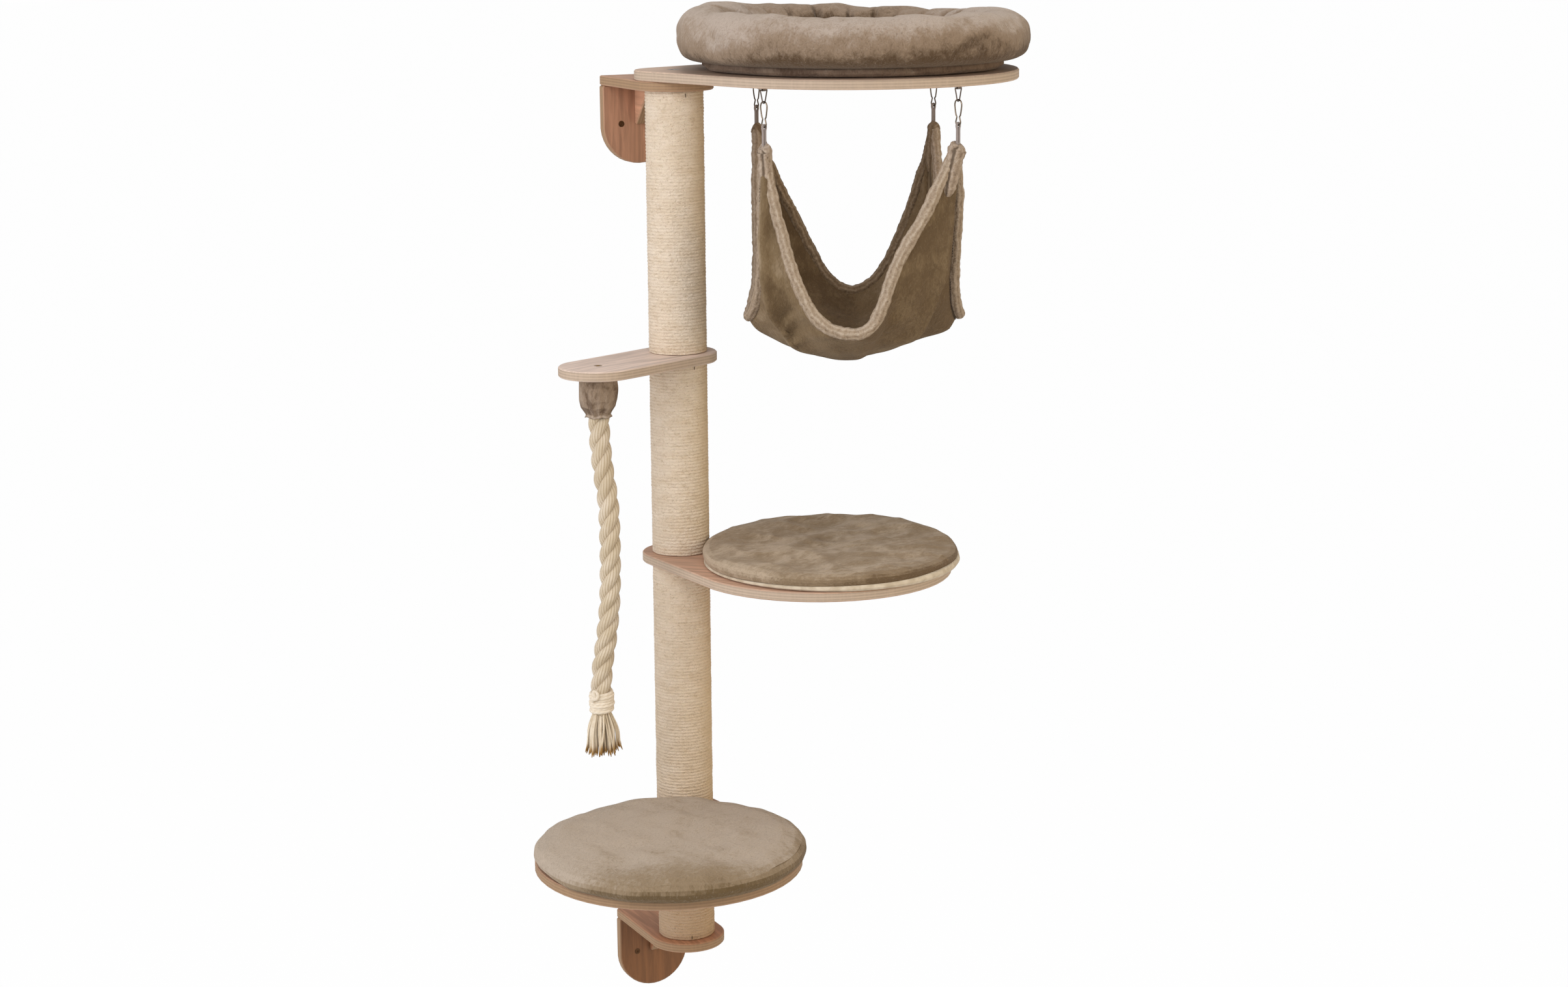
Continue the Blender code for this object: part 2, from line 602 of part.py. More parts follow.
def hanger(word, corner, shelf_underside):
    """One of the four hangers: holder plate, ring, snap hook and cord loop. It returns the loop's foot."""
    along, back = corner
    half = HANGER_HALF_LENGTH * (HANGER_BACK_SHARE if back > 0 else 1)
    seat = turned(HANGER_TURN, shelf_underside) @ Vector((along * half, back * HANGER_HALF_DEPTH, 0))
    under = turned(TOP_SHELF_TURN + RING_TWIST, seat)

    pin_hole = RING_WIRE + FIT
    lug = pin_hole + HOLDER_SHEET
    pin_drop = FIT + lug
    inset = HOLDER_SHEET
    corners = [(x * (HOLDER_LENGTH / 2 - inset), y * (HOLDER_WIDTH / 2 - inset), inset) for x in (-1, 1) for y in (-1, 1)]
    plate = slab_mesh("holder", hull_outline(corners, 16), -FIT - HOLDER_SHEET, -FIT, FIT)
    holder = add("hanger_plate_" + word, plate, DARK_STEEL, under)
    sideways = under @ Matrix.Translation((0, 0, -pin_drop)) @ Matrix.Rotation(math.radians(90), 4, "Y")
    half_lug = HOLDER_LUG_LENGTH / 2
    shoulder = FIT / 2
    lug_profile = [(0, half_lug), (lug - shoulder, half_lug), (lug - shoulder, -half_lug), (0, -half_lug)]
    lug_piece = add("lug_" + word, lathe_mesh("lug", lug_profile, BOLT_SIDES), DARK_STEEL, sideways)
    lug_piece.hide_render = True
    lug_piece.display_type = "WIRE"
    join = holder.modifiers.new("lug", "BOOLEAN")
    join.operation = "UNION"
    join.object = lug_piece
    bore(holder, pin_hole, -half_lug, half_lug, sideways)

    ring_place = under @ Matrix.Translation((0, 0, -pin_drop))
    side = RING_WIDTH / 2 - RING_WIRE - RING_CORNER
    circles = [(-side, -RING_CORNER, RING_CORNER), (side, -RING_CORNER, RING_CORNER)]
    circles.append((0, RING_APEX - RING_HEIGHT, RING_APEX))
    ring = [Vector((x, 0, z)) for x, z in hull_outline(circles, 24)]
    add("ring_" + word, wire_data("ring", ring, RING_WIRE, True), STEEL, ring_place)

    apex = ring_place @ Vector((0, 0, -RING_HEIGHT))
    rest = RING_WIRE + HOOK_WIRE + FIT
    hook_place = turned(TOP_SHELF_TURN - RING_TWIST, apex + Vector((0, 0, rest)))
    add("snap_hook_" + word, wire_data("hook", hook_loop(), HOOK_WIRE, True), STEEL, hook_place)

    eye = hook_place @ Matrix.Translation((0, 0, 2 * HOOK_WIRE - HOOK_LENGTH))
    add("cord_loop_" + word, wire_data("loop", cord_loop(), LOOP_CORD, True), CORD, eye)
    return eye @ Vector((0, 0, -LOOP_DROP))


def edge_height(place, shares):
    """The height share of the sling's front or back edge, at a place from -1 to 1 along it."""
    low, shift, left_power, right_power = shares
    if place < shift:
        return low + (1 - low) * ((shift - place) / (1 + shift)) ** left_power
    return low + (1 - low) * ((place - shift) / (1 - shift)) ** right_power


def sling(centre, tip_front, tip_back):
    """The hammock's cloth: a sling whose four tips rise to the cord loops, with pointed low side edges."""
    reach = 1 - SLING_TIP_SHARE
    tip_top = tip_front.z - LOOP_CORD - FIT
    belly = tip_top - SLING_DEPTH
    half_front = tip_front.x
    half_back = tip_back.x

    def place(turn, share):
        angle = math.tau * turn
        u = max(-1.0, min(1.0, math.sqrt(2) * math.cos(angle)))
        v = max(-1.0, min(1.0, math.sqrt(2) * math.sin(angle)))
        across = max(-1.0, min(1.0, u / reach))
        depth = max(-1.0, min(1.0, v / reach))
        mix = (depth + 1) / 2
        front = edge_height(across, FRONT_EDGE_SHARES)
        back = edge_height(across, BACK_EDGE_SHARES)
        side = SIDE_LOW_SHARE + (1 - SIDE_LOW_SHARE) * abs(depth) ** SIDE_POWER
        height = (front * (1 - mix) + back * mix) * side
        half = half_front * (1 - mix) + half_back * mix
        corner = SIDE_CORNER * math.exp(-((depth / SIDE_CORNER_SHARE) ** 2)) * across**4
        bow = 1 + EDGE_BOW_SHARE * (1 - across**2)
        rim = Vector((u * half + math.copysign(corner, u), v * HANGER_HALF_DEPTH * bow, 0))
        spread = SPREAD_SHARES[0] * (1 - height) + SPREAD_SHARES[1] * height
        fullness = FULLNESS_SHARES[0] * (1 - height) + FULLNESS_SHARES[1] * height
        knuckle = rim * spread * (1 - SLING_LEAN_SHARE * across)
        knuckle.z = belly + SLING_DEPTH * SLING_LIFT_SHARE * height
        rim.z = belly + SLING_DEPTH * height
        bottom = Vector((0, 0, belly))
        weights = ((1 - share) ** 2, 2 * fullness * share * (1 - share), share**2)
        total = sum(weights)
        return (bottom * weights[0] + knuckle * weights[1] + rim * weights[2]) / total

    across, along = 56, 9
    mesh = wrapped_mesh("sling", place, across, along, FIT)
    cloth = add("hammock_sling", mesh, PLUSH, turned(HANGER_TURN, centre))
    group = cloth.vertex_groups.new(name="rolled_edge")
    rims = set()
    bm = bmesh.new()
    bm.from_mesh(mesh)
    for edge in bm.edges:
        if edge.is_boundary:
            rims |= {edge.verts[0].index, edge.verts[1].index}
    bm.free()
    group.add([v.index for v in mesh.vertices], SLING_MIDDLE_SHARE, "REPLACE")
    group.add(sorted(rims), 1.0, "REPLACE")
    wall = cloth.modifiers.new("cloth", "SOLIDIFY")
    wall.thickness = SLING_THICKNESS
    wall.offset = 0
    wall.vertex_group = "rolled_edge"
    return cloth


clear_scene()

PLYWOOD = finish("plywood", (0.74, 0.62, 0.52), 0.6)
SISAL = finish("sisal", (0.83, 0.76, 0.62), 0.95)
CORE = finish("core_wood", (0.62, 0.48, 0.33), 0.8)
STEEL = finish("steel", (0.62, 0.61, 0.60), 0.25, 1.0)
DARK_STEEL = finish("dark_steel", (0.20, 0.19, 0.18), 0.4, 1.0)
ZINC = finish("yellow_zinc", (0.62, 0.50, 0.28), 0.35, 1.0)
PLUSH = finish("plush", (0.52, 0.46, 0.39), 1.0)
ROPE = finish("cotton_rope", (0.86, 0.80, 0.69), 0.95)
CORD = finish("grey_cord", (0.55, 0.50, 0.49), 0.9)

lower_arm = bracket("lower", LOWER_ARM_UNDER)
upper_arm = bracket("upper", UPPER_ARM_UNDER)
lower_shelf = shelf("lower_shelf", LOWER_SHELF_TURN, SHELF_REACH, SHELF_RADIUS, LOWER_SHELF_UNDER)
middle_shelf = shelf("middle_shelf", MIDDLE_SHELF_TURN, SHELF_REACH, SHELF_RADIUS, MIDDLE_SHELF_UNDER)
top_shelf = shelf("top_shelf", TOP_SHELF_TURN, TOP_SHELF_REACH, TOP_SHELF_RADIUS, UPPER_ARM_TOP)
rope_arm = rope_set()

post_segment(1, LOWER_ARM_TOP, LOWEST_SEGMENT_LENGTH)
post_segment(2, LOWER_SHELF_TOP, LOWER_SEGMENT_LENGTH)
post_segment(3, MIDDLE_SHELF_TOP, UPPER_SEGMENT_LENGTH)
post_segment(4, ROPE_ARM_TOP, TOP_SEGMENT_LENGTH)
joining_stud("stud_lower_shelf", lower_shelf, LOWER_SHELF_UNDER)
joining_stud("stud_middle_shelf", middle_shelf, MIDDLE_SHELF_UNDER)
joining_stud("stud_rope_arm", rope_arm, ROPE_ARM_UNDER)

top_place = Matrix.Translation(POST_AXIS + Vector((0, 0, TOP_SHELF_TOP)))
bolt = (BOLT_HEAD_RADIUS, BOLT_HEAD_DEPTH, STUD_RADIUS)
screw("post_bolt_top", STEEL, top_place, *bolt, 2 * BOARD + STUD_DEPTH, [top_shelf, upper_arm])
bottom_place = Matrix.Translation(POST_AXIS + Vector((0, 0, LOWER_ARM_UNDER + FIT)))
bottom_place = bottom_place @ Matrix.Rotation(math.pi, 4, "X")
screw("post_bolt_bottom", STEEL, bottom_place, *bolt, BOARD + STUD_DEPTH - FIT, [lower_arm])

bed_centre = POST_AXIS + heading(TOP_SHELF_TURN) * TOP_SHELF_REACH
bed(bed_centre + Vector((0, 0, TOP_SHELF_TOP)))

pad_profile = [(0, FIT), (0.75, FIT), (0.985, FIT), (1.0, PAD_FLANGE * 0.5 + FIT), (0.985, PAD_FLANGE + FIT)]
pad_profile += [(0.97, PAD_RIM * 0.35), (0.975, PAD_RIM * 0.7), (0.94, PAD_RIM), (0.8, PAD_RIM * 1.15)]
pad_profile += [(0.5, PAD_HEIGHT * 0.93), (0.25, PAD_HEIGHT), (0, PAD_HEIGHT * 0.97)]
pad("middle_pad", MIDDLE_SHELF_TURN, MIDDLE_SHELF_TOP, PAD_RADIUS, pad_profile, 0.0012, 7, 52)

cushion_profile = [(0, FIT), (0.7, FIT), (0.93, FIT), (0.985, CUSHION_RIM * 0.35), (1.0, CUSHION_RIM)]
cushion_profile += [(0.975, CUSHION_RIM * 1.5), (0.90, CUSHION_HEIGHT * 0.78), (0.75, CUSHION_HEIGHT * 0.92)]
cushion_profile += [(0.5, CUSHION_HEIGHT * 0.985), (0.25, CUSHION_HEIGHT), (0, CUSHION_HEIGHT)]
pad("lower_cushion", CUSHION_TURN, LOWER_SHELF_TOP, CUSHION_RADIUS, cushion_profile, 0.0010, 9, 52)

corner_words = {"front_left": (-1, -1), "front_right": (1, -1), "back_left": (-1, 1), "back_right": (1, 1)}
hanger_seat = bed_centre + Vector((0, 0, UPPER_ARM_TOP + FIT))
tips = {}
for corner_word, corner in corner_words.items():
    foot = hanger(corner_word, corner, hanger_seat)
    tips[corner_word] = turned(HANGER_TURN, bed_centre).inverted() @ foot
sling(bed_centre, tips["front_right"], tips["back_right"])
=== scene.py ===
"""Looks of the wall-mounted cat tree: plush bed and cushions, hammock, rope, sisal-wound post and plywood."""

import math

import bmesh
import bpy
import numpy as np
from mathutils import Matrix, Vector


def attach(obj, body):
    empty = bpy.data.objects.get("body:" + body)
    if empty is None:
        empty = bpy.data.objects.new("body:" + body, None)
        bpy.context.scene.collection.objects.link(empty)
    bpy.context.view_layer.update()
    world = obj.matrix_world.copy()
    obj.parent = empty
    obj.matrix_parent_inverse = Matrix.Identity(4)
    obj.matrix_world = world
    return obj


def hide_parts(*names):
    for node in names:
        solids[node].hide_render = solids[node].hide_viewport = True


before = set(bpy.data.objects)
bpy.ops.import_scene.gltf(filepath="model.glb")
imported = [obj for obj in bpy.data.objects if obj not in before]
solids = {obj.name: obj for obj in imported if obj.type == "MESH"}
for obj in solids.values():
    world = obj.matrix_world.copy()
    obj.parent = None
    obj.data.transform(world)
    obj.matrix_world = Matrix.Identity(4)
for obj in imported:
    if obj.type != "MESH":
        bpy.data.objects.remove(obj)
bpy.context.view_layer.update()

# Places that the pieces share with the solids, in metres and radians
POST_X, POST_Y = 0.0, -0.147
TOP_TURN = math.radians(-28)
MIDDLE_TURN = math.radians(-46)
LOWER_TURN = math.radians(-121)
CUSHION_TURN = math.radians(-119.6)
ARM_TURN = math.radians(-158.4)
BED_OFFSET = 0.27
PAD_OFFSET = 0.2475
CUSHION_OFFSET = 0.2525
ROPE_OFFSET = 0.173
TOP_SHELF_TOP = 1.45
MIDDLE_SHELF_TOP = 0.705
LOWER_SHELF_TOP = 0.285
LOWER_ARM_UNDER = 0.06
ROPE_ARM_UNDER = 1.005
BOARD = 0.015
GAP = 0.0003
UP = Vector((0, 0, 1))
ORIGIN = Vector((0, 0, 0))


def heading(turn):
    """A level vector, one metre long, in a direction."""
    return Vector((math.cos(turn), math.sin(turn), 0))


def ahead(turn, reach, height=0.0):
    """A point that is reach away from the post's axis in a direction."""
    return Vector((POST_X, POST_Y, height)) + heading(turn) * reach


def srgb(red, green, blue):
    """A colour given as it is seen on a screen, from 0 to 255, as Blender wants it."""
    parts = [channel / 255 for channel in (red, green, blue)]
    return tuple(c / 12.92 if c <= 0.04045 else ((c + 0.055) / 1.055) ** 2.4 for c in parts) + (1.0,)


def shaded(colour, factor):
    """A colour made darker or lighter."""
    return tuple(min(1.0, c * factor) for c in colour[:3]) + (1.0,)


# Camera

CAMERA_PLACE = (-1.7935, -4.0711, 1.7297)
CAMERA_HEADING = math.radians(26.71)
CAMERA_PITCH = math.radians(12.24)
CAMERA_ROLL = math.radians(0.427)
FOCAL_PIXELS = 4349.8
PHOTO_WIDTH = 2408
SENSOR = 36.0

camera = bpy.data.cameras.new("camera")
camera.sensor_width = SENSOR
camera.lens = FOCAL_PIXELS / PHOTO_WIDTH * SENSOR
camera_object = bpy.data.objects.new("camera", camera)
turn = Matrix.Rotation(-CAMERA_HEADING, 4, "Z") @ Matrix.Rotation(math.pi / 2 - CAMERA_PITCH, 4, "X")
turn = turn @ Matrix.Rotation(-CAMERA_ROLL, 4, "Z")
camera_object.matrix_world = Matrix.Translation(CAMERA_PLACE) @ turn
bpy.context.scene.collection.objects.link(camera_object)
bpy.context.scene.camera = camera_object
bpy.context.scene.view_settings.view_transform = "Standard"


# Shader maths


class Value:
    """A socket with arithmetic: an expression on it adds its Math nodes to the material."""

    def __init__(self, surface, socket):
        self.surface = surface
        self.socket = socket

    def _math(self, operation, *values):
        return self.surface.node("ShaderNodeMath", {"operation": operation}, dict(enumerate(values)))

    def __add__(self, other):
        return self._math("ADD", self, other)

    __radd__ = __add__

    def __mul__(self, other):
        return self._math("MULTIPLY", self, other)

    __rmul__ = __mul__

    def __sub__(self, other):
        return self._math("SUBTRACT", self, other)

    def __rsub__(self, other):
        return self._math("SUBTRACT", other, self)

    def __truediv__(self, other):
        return self._math("DIVIDE", self, other)

    def __pow__(self, other):
        return self._math("POWER", self, other)

    def __abs__(self):
        return self._math("ABSOLUTE", self)

    def fract(self):
        return self._math("FRACT", self)

    def at_least(self, other):
        return self._math("MAXIMUM", self, other)

    def between(self, low, high):
        """0 below low, 1 above high, and smooth between."""
        settings = {"interpolation_type": "SMOOTHSTEP"}
        return self.surface.node("ShaderNodeMapRange", settings, {"Value": self, "From Min": low, "From Max": high})


class Shading:
    """A material's or a world's nodes."""

    def __init__(self, tree):
        self.nodes = tree.nodes
        self.links = tree.links

    def fill(self, socket, value):
        """Gives a socket its link or its constant value."""
        if isinstance(value, Value):
            self.links.new(value.socket, socket)
        else:
            socket.default_value = value

    def node(self, kind, settings=None, inputs=None, out=0):
        """One node: its settings first, then the values or links of its sockets."""
        made = self.nodes.new(kind)
        for key, value in (settings or {}).items():
            setattr(made, key, value)
        for key, value in (inputs or {}).items():
            self.fill(made.inputs[key], value)
        return Value(self, made.outputs[out])

    def outputs(self, first):
        """All outputs of the node that a value comes from."""
        return {socket.name: Value(self, socket) for socket in first.socket.node.outputs}

    def rays(self, *kinds):
        """1 for these kinds of ray, and 0 for the others."""
        paths = self.outputs(self.node("ShaderNodeLightPath"))
        seen, *others = [paths[kind] for kind in kinds]
        for other in others:
            seen = seen.at_least(other)
        return seen

    def show(self, output, share, usual, seen):
        """Ends in the usual shader where share is 0, and in the seen one where it is 1."""
        mixed = self.node("ShaderNodeMixShader", {}, {0: share, 1: usual, 2: seen})
        self.fill(self.nodes[output].inputs[0], mixed)


class Surface(Shading):
    """A material, its shader's constant sockets, and the nodes that vary over it."""

    def __init__(self, name, **constants):
        self.material = bpy.data.materials.new(name)
        self.material.use_nodes = True
        super().__init__(self.material.node_tree)
        self.shader = self.nodes["Principled BSDF"]
        for words, value in constants.items():
            self.shader.inputs[words.replace("_", " ").title().replace("Ior", "IOR")].default_value = value

    def put(self, socket, value):
        self.fill(self.shader.inputs[socket], value)

    def coat(self, colour, height, depth, strength):
        """The shader's colour and its relief."""
        self.put("Base Color", colour)
        self.put("Normal", self.bump(height, depth, strength))

    def scaled(self, vector, scale, turned=(0, 0, 0)):
        inputs = {"Vector": vector, "Scale": scale, "Rotation": turned}
        return self.node("ShaderNodeMapping", {"vector_type": "POINT"}, inputs)

    def place(self, scale=(1, 1, 1), turned=(0, 0, 0), kind="Object"):
        """Coordinates on the piece, scaled and turned."""
        return self.scaled(self.node("ShaderNodeTexCoord", out=kind), scale, turned)

    def axes(self, vector):
        return list(self.outputs(self.node("ShaderNodeSeparateXYZ", {}, {0: vector})).values())

    def noise(self, vector, scale, detail=3.0, roughness=0.55, distortion=0.0):
        inputs = {"Vector": vector, "Scale": scale, "Detail": detail, "Roughness": roughness}
        inputs["Distortion"] = distortion
        return self.node("ShaderNodeTexNoise", {}, inputs)

    def speckle(self, scale, detail=3.0, roughness=0.55, distortion=0.0):
        """Noise on the piece, as fine along each axis as scale says."""
        return self.noise(self.place(scale), 1.0, detail, roughness, distortion)

    def blend(self, share, first, second):
        """A colour between two colours."""
        return self.node("ShaderNodeMix", {"data_type": "RGBA"}, {0: share, 6: first, 7: second}, out=2)

    def bump(self, height, depth, strength=1.0, under=None):
        inputs = {"Height": height, "Distance": depth, "Strength": strength}
        if under is not None:
            inputs["Normal"] = under
        return self.node("ShaderNodeBump", {}, inputs)

    def dress(self, *pieces):
        for piece in pieces:
            piece.data.materials.clear()
            piece.data.materials.append(self.material)


# Shapes as arrays


def smooth_noise(points, scale, seed):
    """Soft random numbers, about -1 to 1, that change evenly over the points."""
    wave_count = 14
    rng = np.random.default_rng(seed)
    total = np.zeros(len(points))
    for _ in range(wave_count):
        direction = rng.normal(size=3)
        direction *= rng.uniform(0.6, 1.5) / (np.linalg.norm(direction) * scale)
        total += np.sin(points @ direction * math.tau + rng.uniform(0, math.tau))
    return total / math.sqrt(wave_count)


def swells(points, *rows):
    """A sum of soft random swells over the points, from rows of size, seed and depth."""
    return sum(depth * smooth_noise(points, size, seed) for size, seed, depth in rows)


def waves(around, *rows):
    """A sum of sine waves round a piece, from rows of count, phase and depth."""
    return sum(depth * np.sin(count * around + phase) for count, phase, depth in rows)


def towards(around, degrees):
    """1 where a round piece faces a direction, and 0 from a quarter turn away."""
    return np.clip(np.cos(around - math.radians(degrees)), 0, 1)


def tent(at, peak, half_width):
    """1 at the peak, and 0 from half_width away."""
    return np.clip(1 - np.abs(at - peak) / half_width, 0, 1)


def bell(at, width):
    """1 at zero, and 0.37 at width on either side."""
    return np.exp(-((at / width) ** 2))


def ramp(at, low, high):
    """0 below low, 1 above high, and even between."""
    return np.clip((at - low) / (high - low), 0, 1)


def profile(v, rows):
    """The reach and the height at v, from rows of places, reaches and heights."""
    places, reaches, heights = rows
    return np.interp(v, places, reaches), np.interp(v, places, heights)


def round_centre(centre, around, reach, height):
    """Points round a centre, at a reach from it and a height over it."""
    x, y = centre.x + reach * np.cos(around), centre.y + reach * np.sin(around)
    return np.stack(np.broadcast_arrays(x, y, centre.z + height), axis=-1)


def lengths_along(line):
    """The length of a line from its start to each of its points."""
    return np.concatenate([[0], np.cumsum(np.linalg.norm(np.diff(line, axis=0), axis=1))])


def at_lengths(rows, lengths, at):
    """Rows that are known at some lengths of a line, as they are at others."""
    return np.stack([np.interp(at, lengths, rows[:, k]) for k in range(3)], axis=-1)


def unit(rows):
    return rows / np.linalg.norm(rows, axis=1)[:, None]


def tube_points(path, radius, across, u, v, thin=None):
    """Points of a tube along a path: u goes round it and v along it, both from 0 to 1."""
    path = np.asarray(path, dtype=float)
    lengths = lengths_along(path)
    at = v * lengths[-1]
    tangents = unit(np.gradient(path, axis=0))
    side = unit(across - (tangents @ across)[:, None] * tangents)
    other = np.cross(tangents, side)
    reach = radius if thin is None else radius * np.interp(v, *thin)[:, None]
    angle = math.tau * u[:, None]
    offset = np.cos(angle) * at_lengths(side, lengths, at) + np.sin(angle) * at_lengths(other, lengths, at)
    return at_lengths(path, lengths, at) + offset * reach


def catmull(points, steps):
    """A smooth open curve through the points."""
    points = np.asarray(points, dtype=float)
    ends = np.vstack([2 * points[0] - points[1], points, 2 * points[-1] - points[-2]])
    out = []
    for index in range(len(points) - 1):
        before, start, end, after = ends[index : index + 4]
        for share in np.arange(steps) / steps:
            bend = 2 * start + (end - before) * share + (2 * before - 5 * start + 4 * end - after) * share**2
            out.append((bend + (3 * start - before - 3 * end + after) * share**3) / 2)
    out.append(points[-1])
    return np.array(out)


# Meshes and pieces


def link(name, mesh, smooth=True):
    piece = bpy.data.objects.new(name, mesh)
    bpy.context.scene.collection.objects.link(piece)
    if smooth:
        mesh.shade_smooth()
    return piece


def mesh_of(name, bm):
    """The mesh of a finished bmesh."""
    mesh = bpy.data.meshes.new(name)
    bm.to_mesh(mesh)
    bm.free()
    return mesh


def grid_mesh(name, place, across, along, weld=0.00002, caps=False):
    """A grid put in place by place(u, v), both from 0 to 1 as arrays, that closes on itself along u."""
    bm = bmesh.new()
    bm.loops.layers.uv.new("UVMap")
    bmesh.ops.create_grid(bm, x_segments=across, y_segments=along, size=1, calc_uvs=True)
    mesh = mesh_of(name, bm)
    flat = np.empty(len(mesh.vertices) * 3)
    mesh.vertices.foreach_get("co", flat)
    flat = flat.reshape(-1, 3)
    u = (flat[:, 0] + 1) / 2
    v = (flat[:, 1] + 1) / 2
    u = np.where(u > 1 - 1e-6, 0.0, u)
    mesh.vertices.foreach_set("co", np.ascontiguousarray(place(u, v), dtype=np.float64).reshape(-1))
    mesh.update()
    bm = bmesh.new()
    bm.from_mesh(mesh)
    bmesh.ops.remove_doubles(bm, verts=bm.verts, dist=weld)
    if caps:
        bmesh.ops.holes_fill(bm, edges=[edge for edge in bm.edges if edge.is_boundary], sides=0)
    bmesh.ops.recalc_face_normals(bm, faces=bm.faces)
    bm.to_mesh(mesh)
    bm.free()
    return mesh


def tube_mesh(name, line, radius, across, sides, rows, thin=None):
    """A tube along a line, closed at both ends."""
    return grid_mesh(name, lambda u, v: tube_points(line, radius, across, u, v, thin), sides, rows, caps=True)


def joined(name, meshes):
    """Several meshes as one."""
    bm = bmesh.new()
    for mesh in meshes:
        bm.from_mesh(mesh)
        bpy.data.meshes.remove(mesh)
    return mesh_of(name, bm)


def ready(piece, surface, body, slot, *nodes):
    """Gives a finished piece its material and its body, and hides the nodes that it stands for; slot is not used."""
    surface.dress(piece)
    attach(piece, body)
    if nodes:
        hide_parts(*nodes)
    return piece


# Rope

HANG = ahead(ARM_TURN, ROPE_OFFSET)
CUFF_LENGTH = 0.0635
ROPE_PIVOT_DROP = 0.0025
ROPE_TOP = ROPE_ARM_UNDER - CUFF_LENGTH - ROPE_PIVOT_DROP
ROPE_LAY = 0.088
STRAND_COUNT = 3
STRAND_RADIUS = 0.0085
STRAND_REACH = 0.008
DRIFT_TURN = math.radians(-24.6)
# How far down and how far to the side
ROPE_ROUTE = (
    (-0.014, 0.0), (0.0, 0.0), (0.028, 0.0), (0.0785, 0.0042), (0.129, 0.0107), (0.1815, 0.0122),
    (0.2415, 0.0117), (0.2915, 0.0093), (0.3415, 0.0037), (0.3815, -0.0026), (0.4195, -0.0054), (0.4577, -0.0054),
)
rope_line = catmull([HANG + heading(DRIFT_TURN) * drift + UP * (ROPE_TOP - drop) for drop, drift in ROPE_ROUTE], 12)
rope_end = Vector(rope_line[-1])


def strand(index):
    """One of the rope's strands, wound round the rope's own line."""
    tangents = np.gradient(rope_line, axis=0)
    side = unit(np.cross(tangents, [0.0, 1.0, 0.0]))
    other = unit(np.cross(tangents, side))
    angle = math.tau * (lengths_along(rope_line) / ROPE_LAY + index / STRAND_COUNT)[:, None]
    line = rope_line + STRAND_REACH * (np.cos(angle) * side + np.sin(angle) * other)
    return tube_mesh(f"strand_{index}", line, STRAND_RADIUS, np.array([0.0, 1.0, 0.0]), 20, 260)


rope = link("rope_strands", joined("rope_strands", [strand(index) for index in range(STRAND_COUNT)]))

cotton = Surface("cream_cotton", roughness=0.9, sheen_weight=0.25, sheen_roughness=0.5, specular_ior_level=0.2)
round_share, length_share, _ = cotton.axes(cotton.place(kind="UV"))
yarn = (round_share * 11 + length_share * 46).fract()
yarn_crown = 1 - abs(yarn * 2 - 1) ** 2
fibre = cotton.speckle((240, 240, 900), 4.0, 0.7)
patch = cotton.speckle((30, 30, 30), 2.0)
pale = cotton.blend(patch.between(0.35, 0.7), srgb(204, 189, 164), srgb(219, 206, 186))
# Painted highlight on the crowns of the yarns and painted shade in the grooves between them
crown_highlight_groove_shade = cotton.blend((yarn_crown * 0.6 + fibre * 0.5).between(0.1, 0.8), srgb(176, 155, 122), pale)
cotton.coat(crown_highlight_groove_shade, yarn_crown * 0.7 + fibre * 0.5, 0.0009, 0.8)
ready(rope, cotton, "rope_pendulum", "cotton_rope", "rope")


# Whipping: a band wound round the rope's end, with a small knot

WHIPPING_LENGTH = 0.0352
BAND_TURNS = 7
BAND_RADIUS = 0.0159
BAND_CORD_RADIUS = 0.0029
KNOT_CORD_RADIUS = 0.0026
BAND_STEPS = 24
band_points = []
for step in range(BAND_TURNS * BAND_STEPS + 1):
    share = step / (BAND_TURNS * BAND_STEPS)
    angle = math.tau * BAND_TURNS * share
    reach = BAND_RADIUS + 0.0007 * math.sin(angle * 0.37 + 1) + 0.0009 * math.sin(share * math.pi)
    height = 0.0022 + (WHIPPING_LENGTH - 0.0046) * share + 0.0012 * math.sin(angle + 0.6)
    band_points.append(rope_end + heading(angle) * reach + UP * height)

# From the top of the band
KNOT = (
    (-0.0135, -0.012, -0.01), (-0.017, -0.013, -0.004), (-0.0175, -0.01, 0.0015), (-0.014, -0.0125, 0.001),
    (-0.013, -0.016, -0.0035), (-0.0155, -0.0165, -0.0085), (-0.0185, -0.0125, -0.0095), (-0.018, -0.009, -0.014),
)
knot_line = catmull([rope_end + UP * WHIPPING_LENGTH + Vector(point) for point in KNOT], 8)
band_mesh = tube_mesh("band", band_points, BAND_CORD_RADIUS, np.array([0.0, 0.0, 1.0]), 10, BAND_TURNS * 40)
knot_mesh = tube_mesh("knot", knot_line, KNOT_CORD_RADIUS, np.array([0.3, 0.9, 0.2]), 10, 60)
whipping = link("whipping_band", joined("whipping_band", [band_mesh, knot_mesh]))
twine = Surface("white_twine", roughness=0.92, sheen_weight=0.2, specular_ior_level=0.2)
twine_u, twine_v, _ = twine.axes(twine.place(kind="UV"))
twist = abs((twine_u * 3 + twine_v * 90).fract() * 2 - 1)
hair = twine.speckle((400, 400, 400), 4.0, 0.7)
# Painted shade: the twine is darker in the grooves between its twists
white_cotton = twine.blend((twist * 0.25 + hair * 0.7).between(0.1, 0.9), srgb(244, 235, 219), srgb(216, 200, 176))
twine.coat(white_cotton, hair - twist * 0.25, 0.0006, 0.7)
ready(whipping, twine, "rope_pendulum", "cotton_rope", "rope_whipping")


# Frayed end: loose yarns that spread out below the whipping

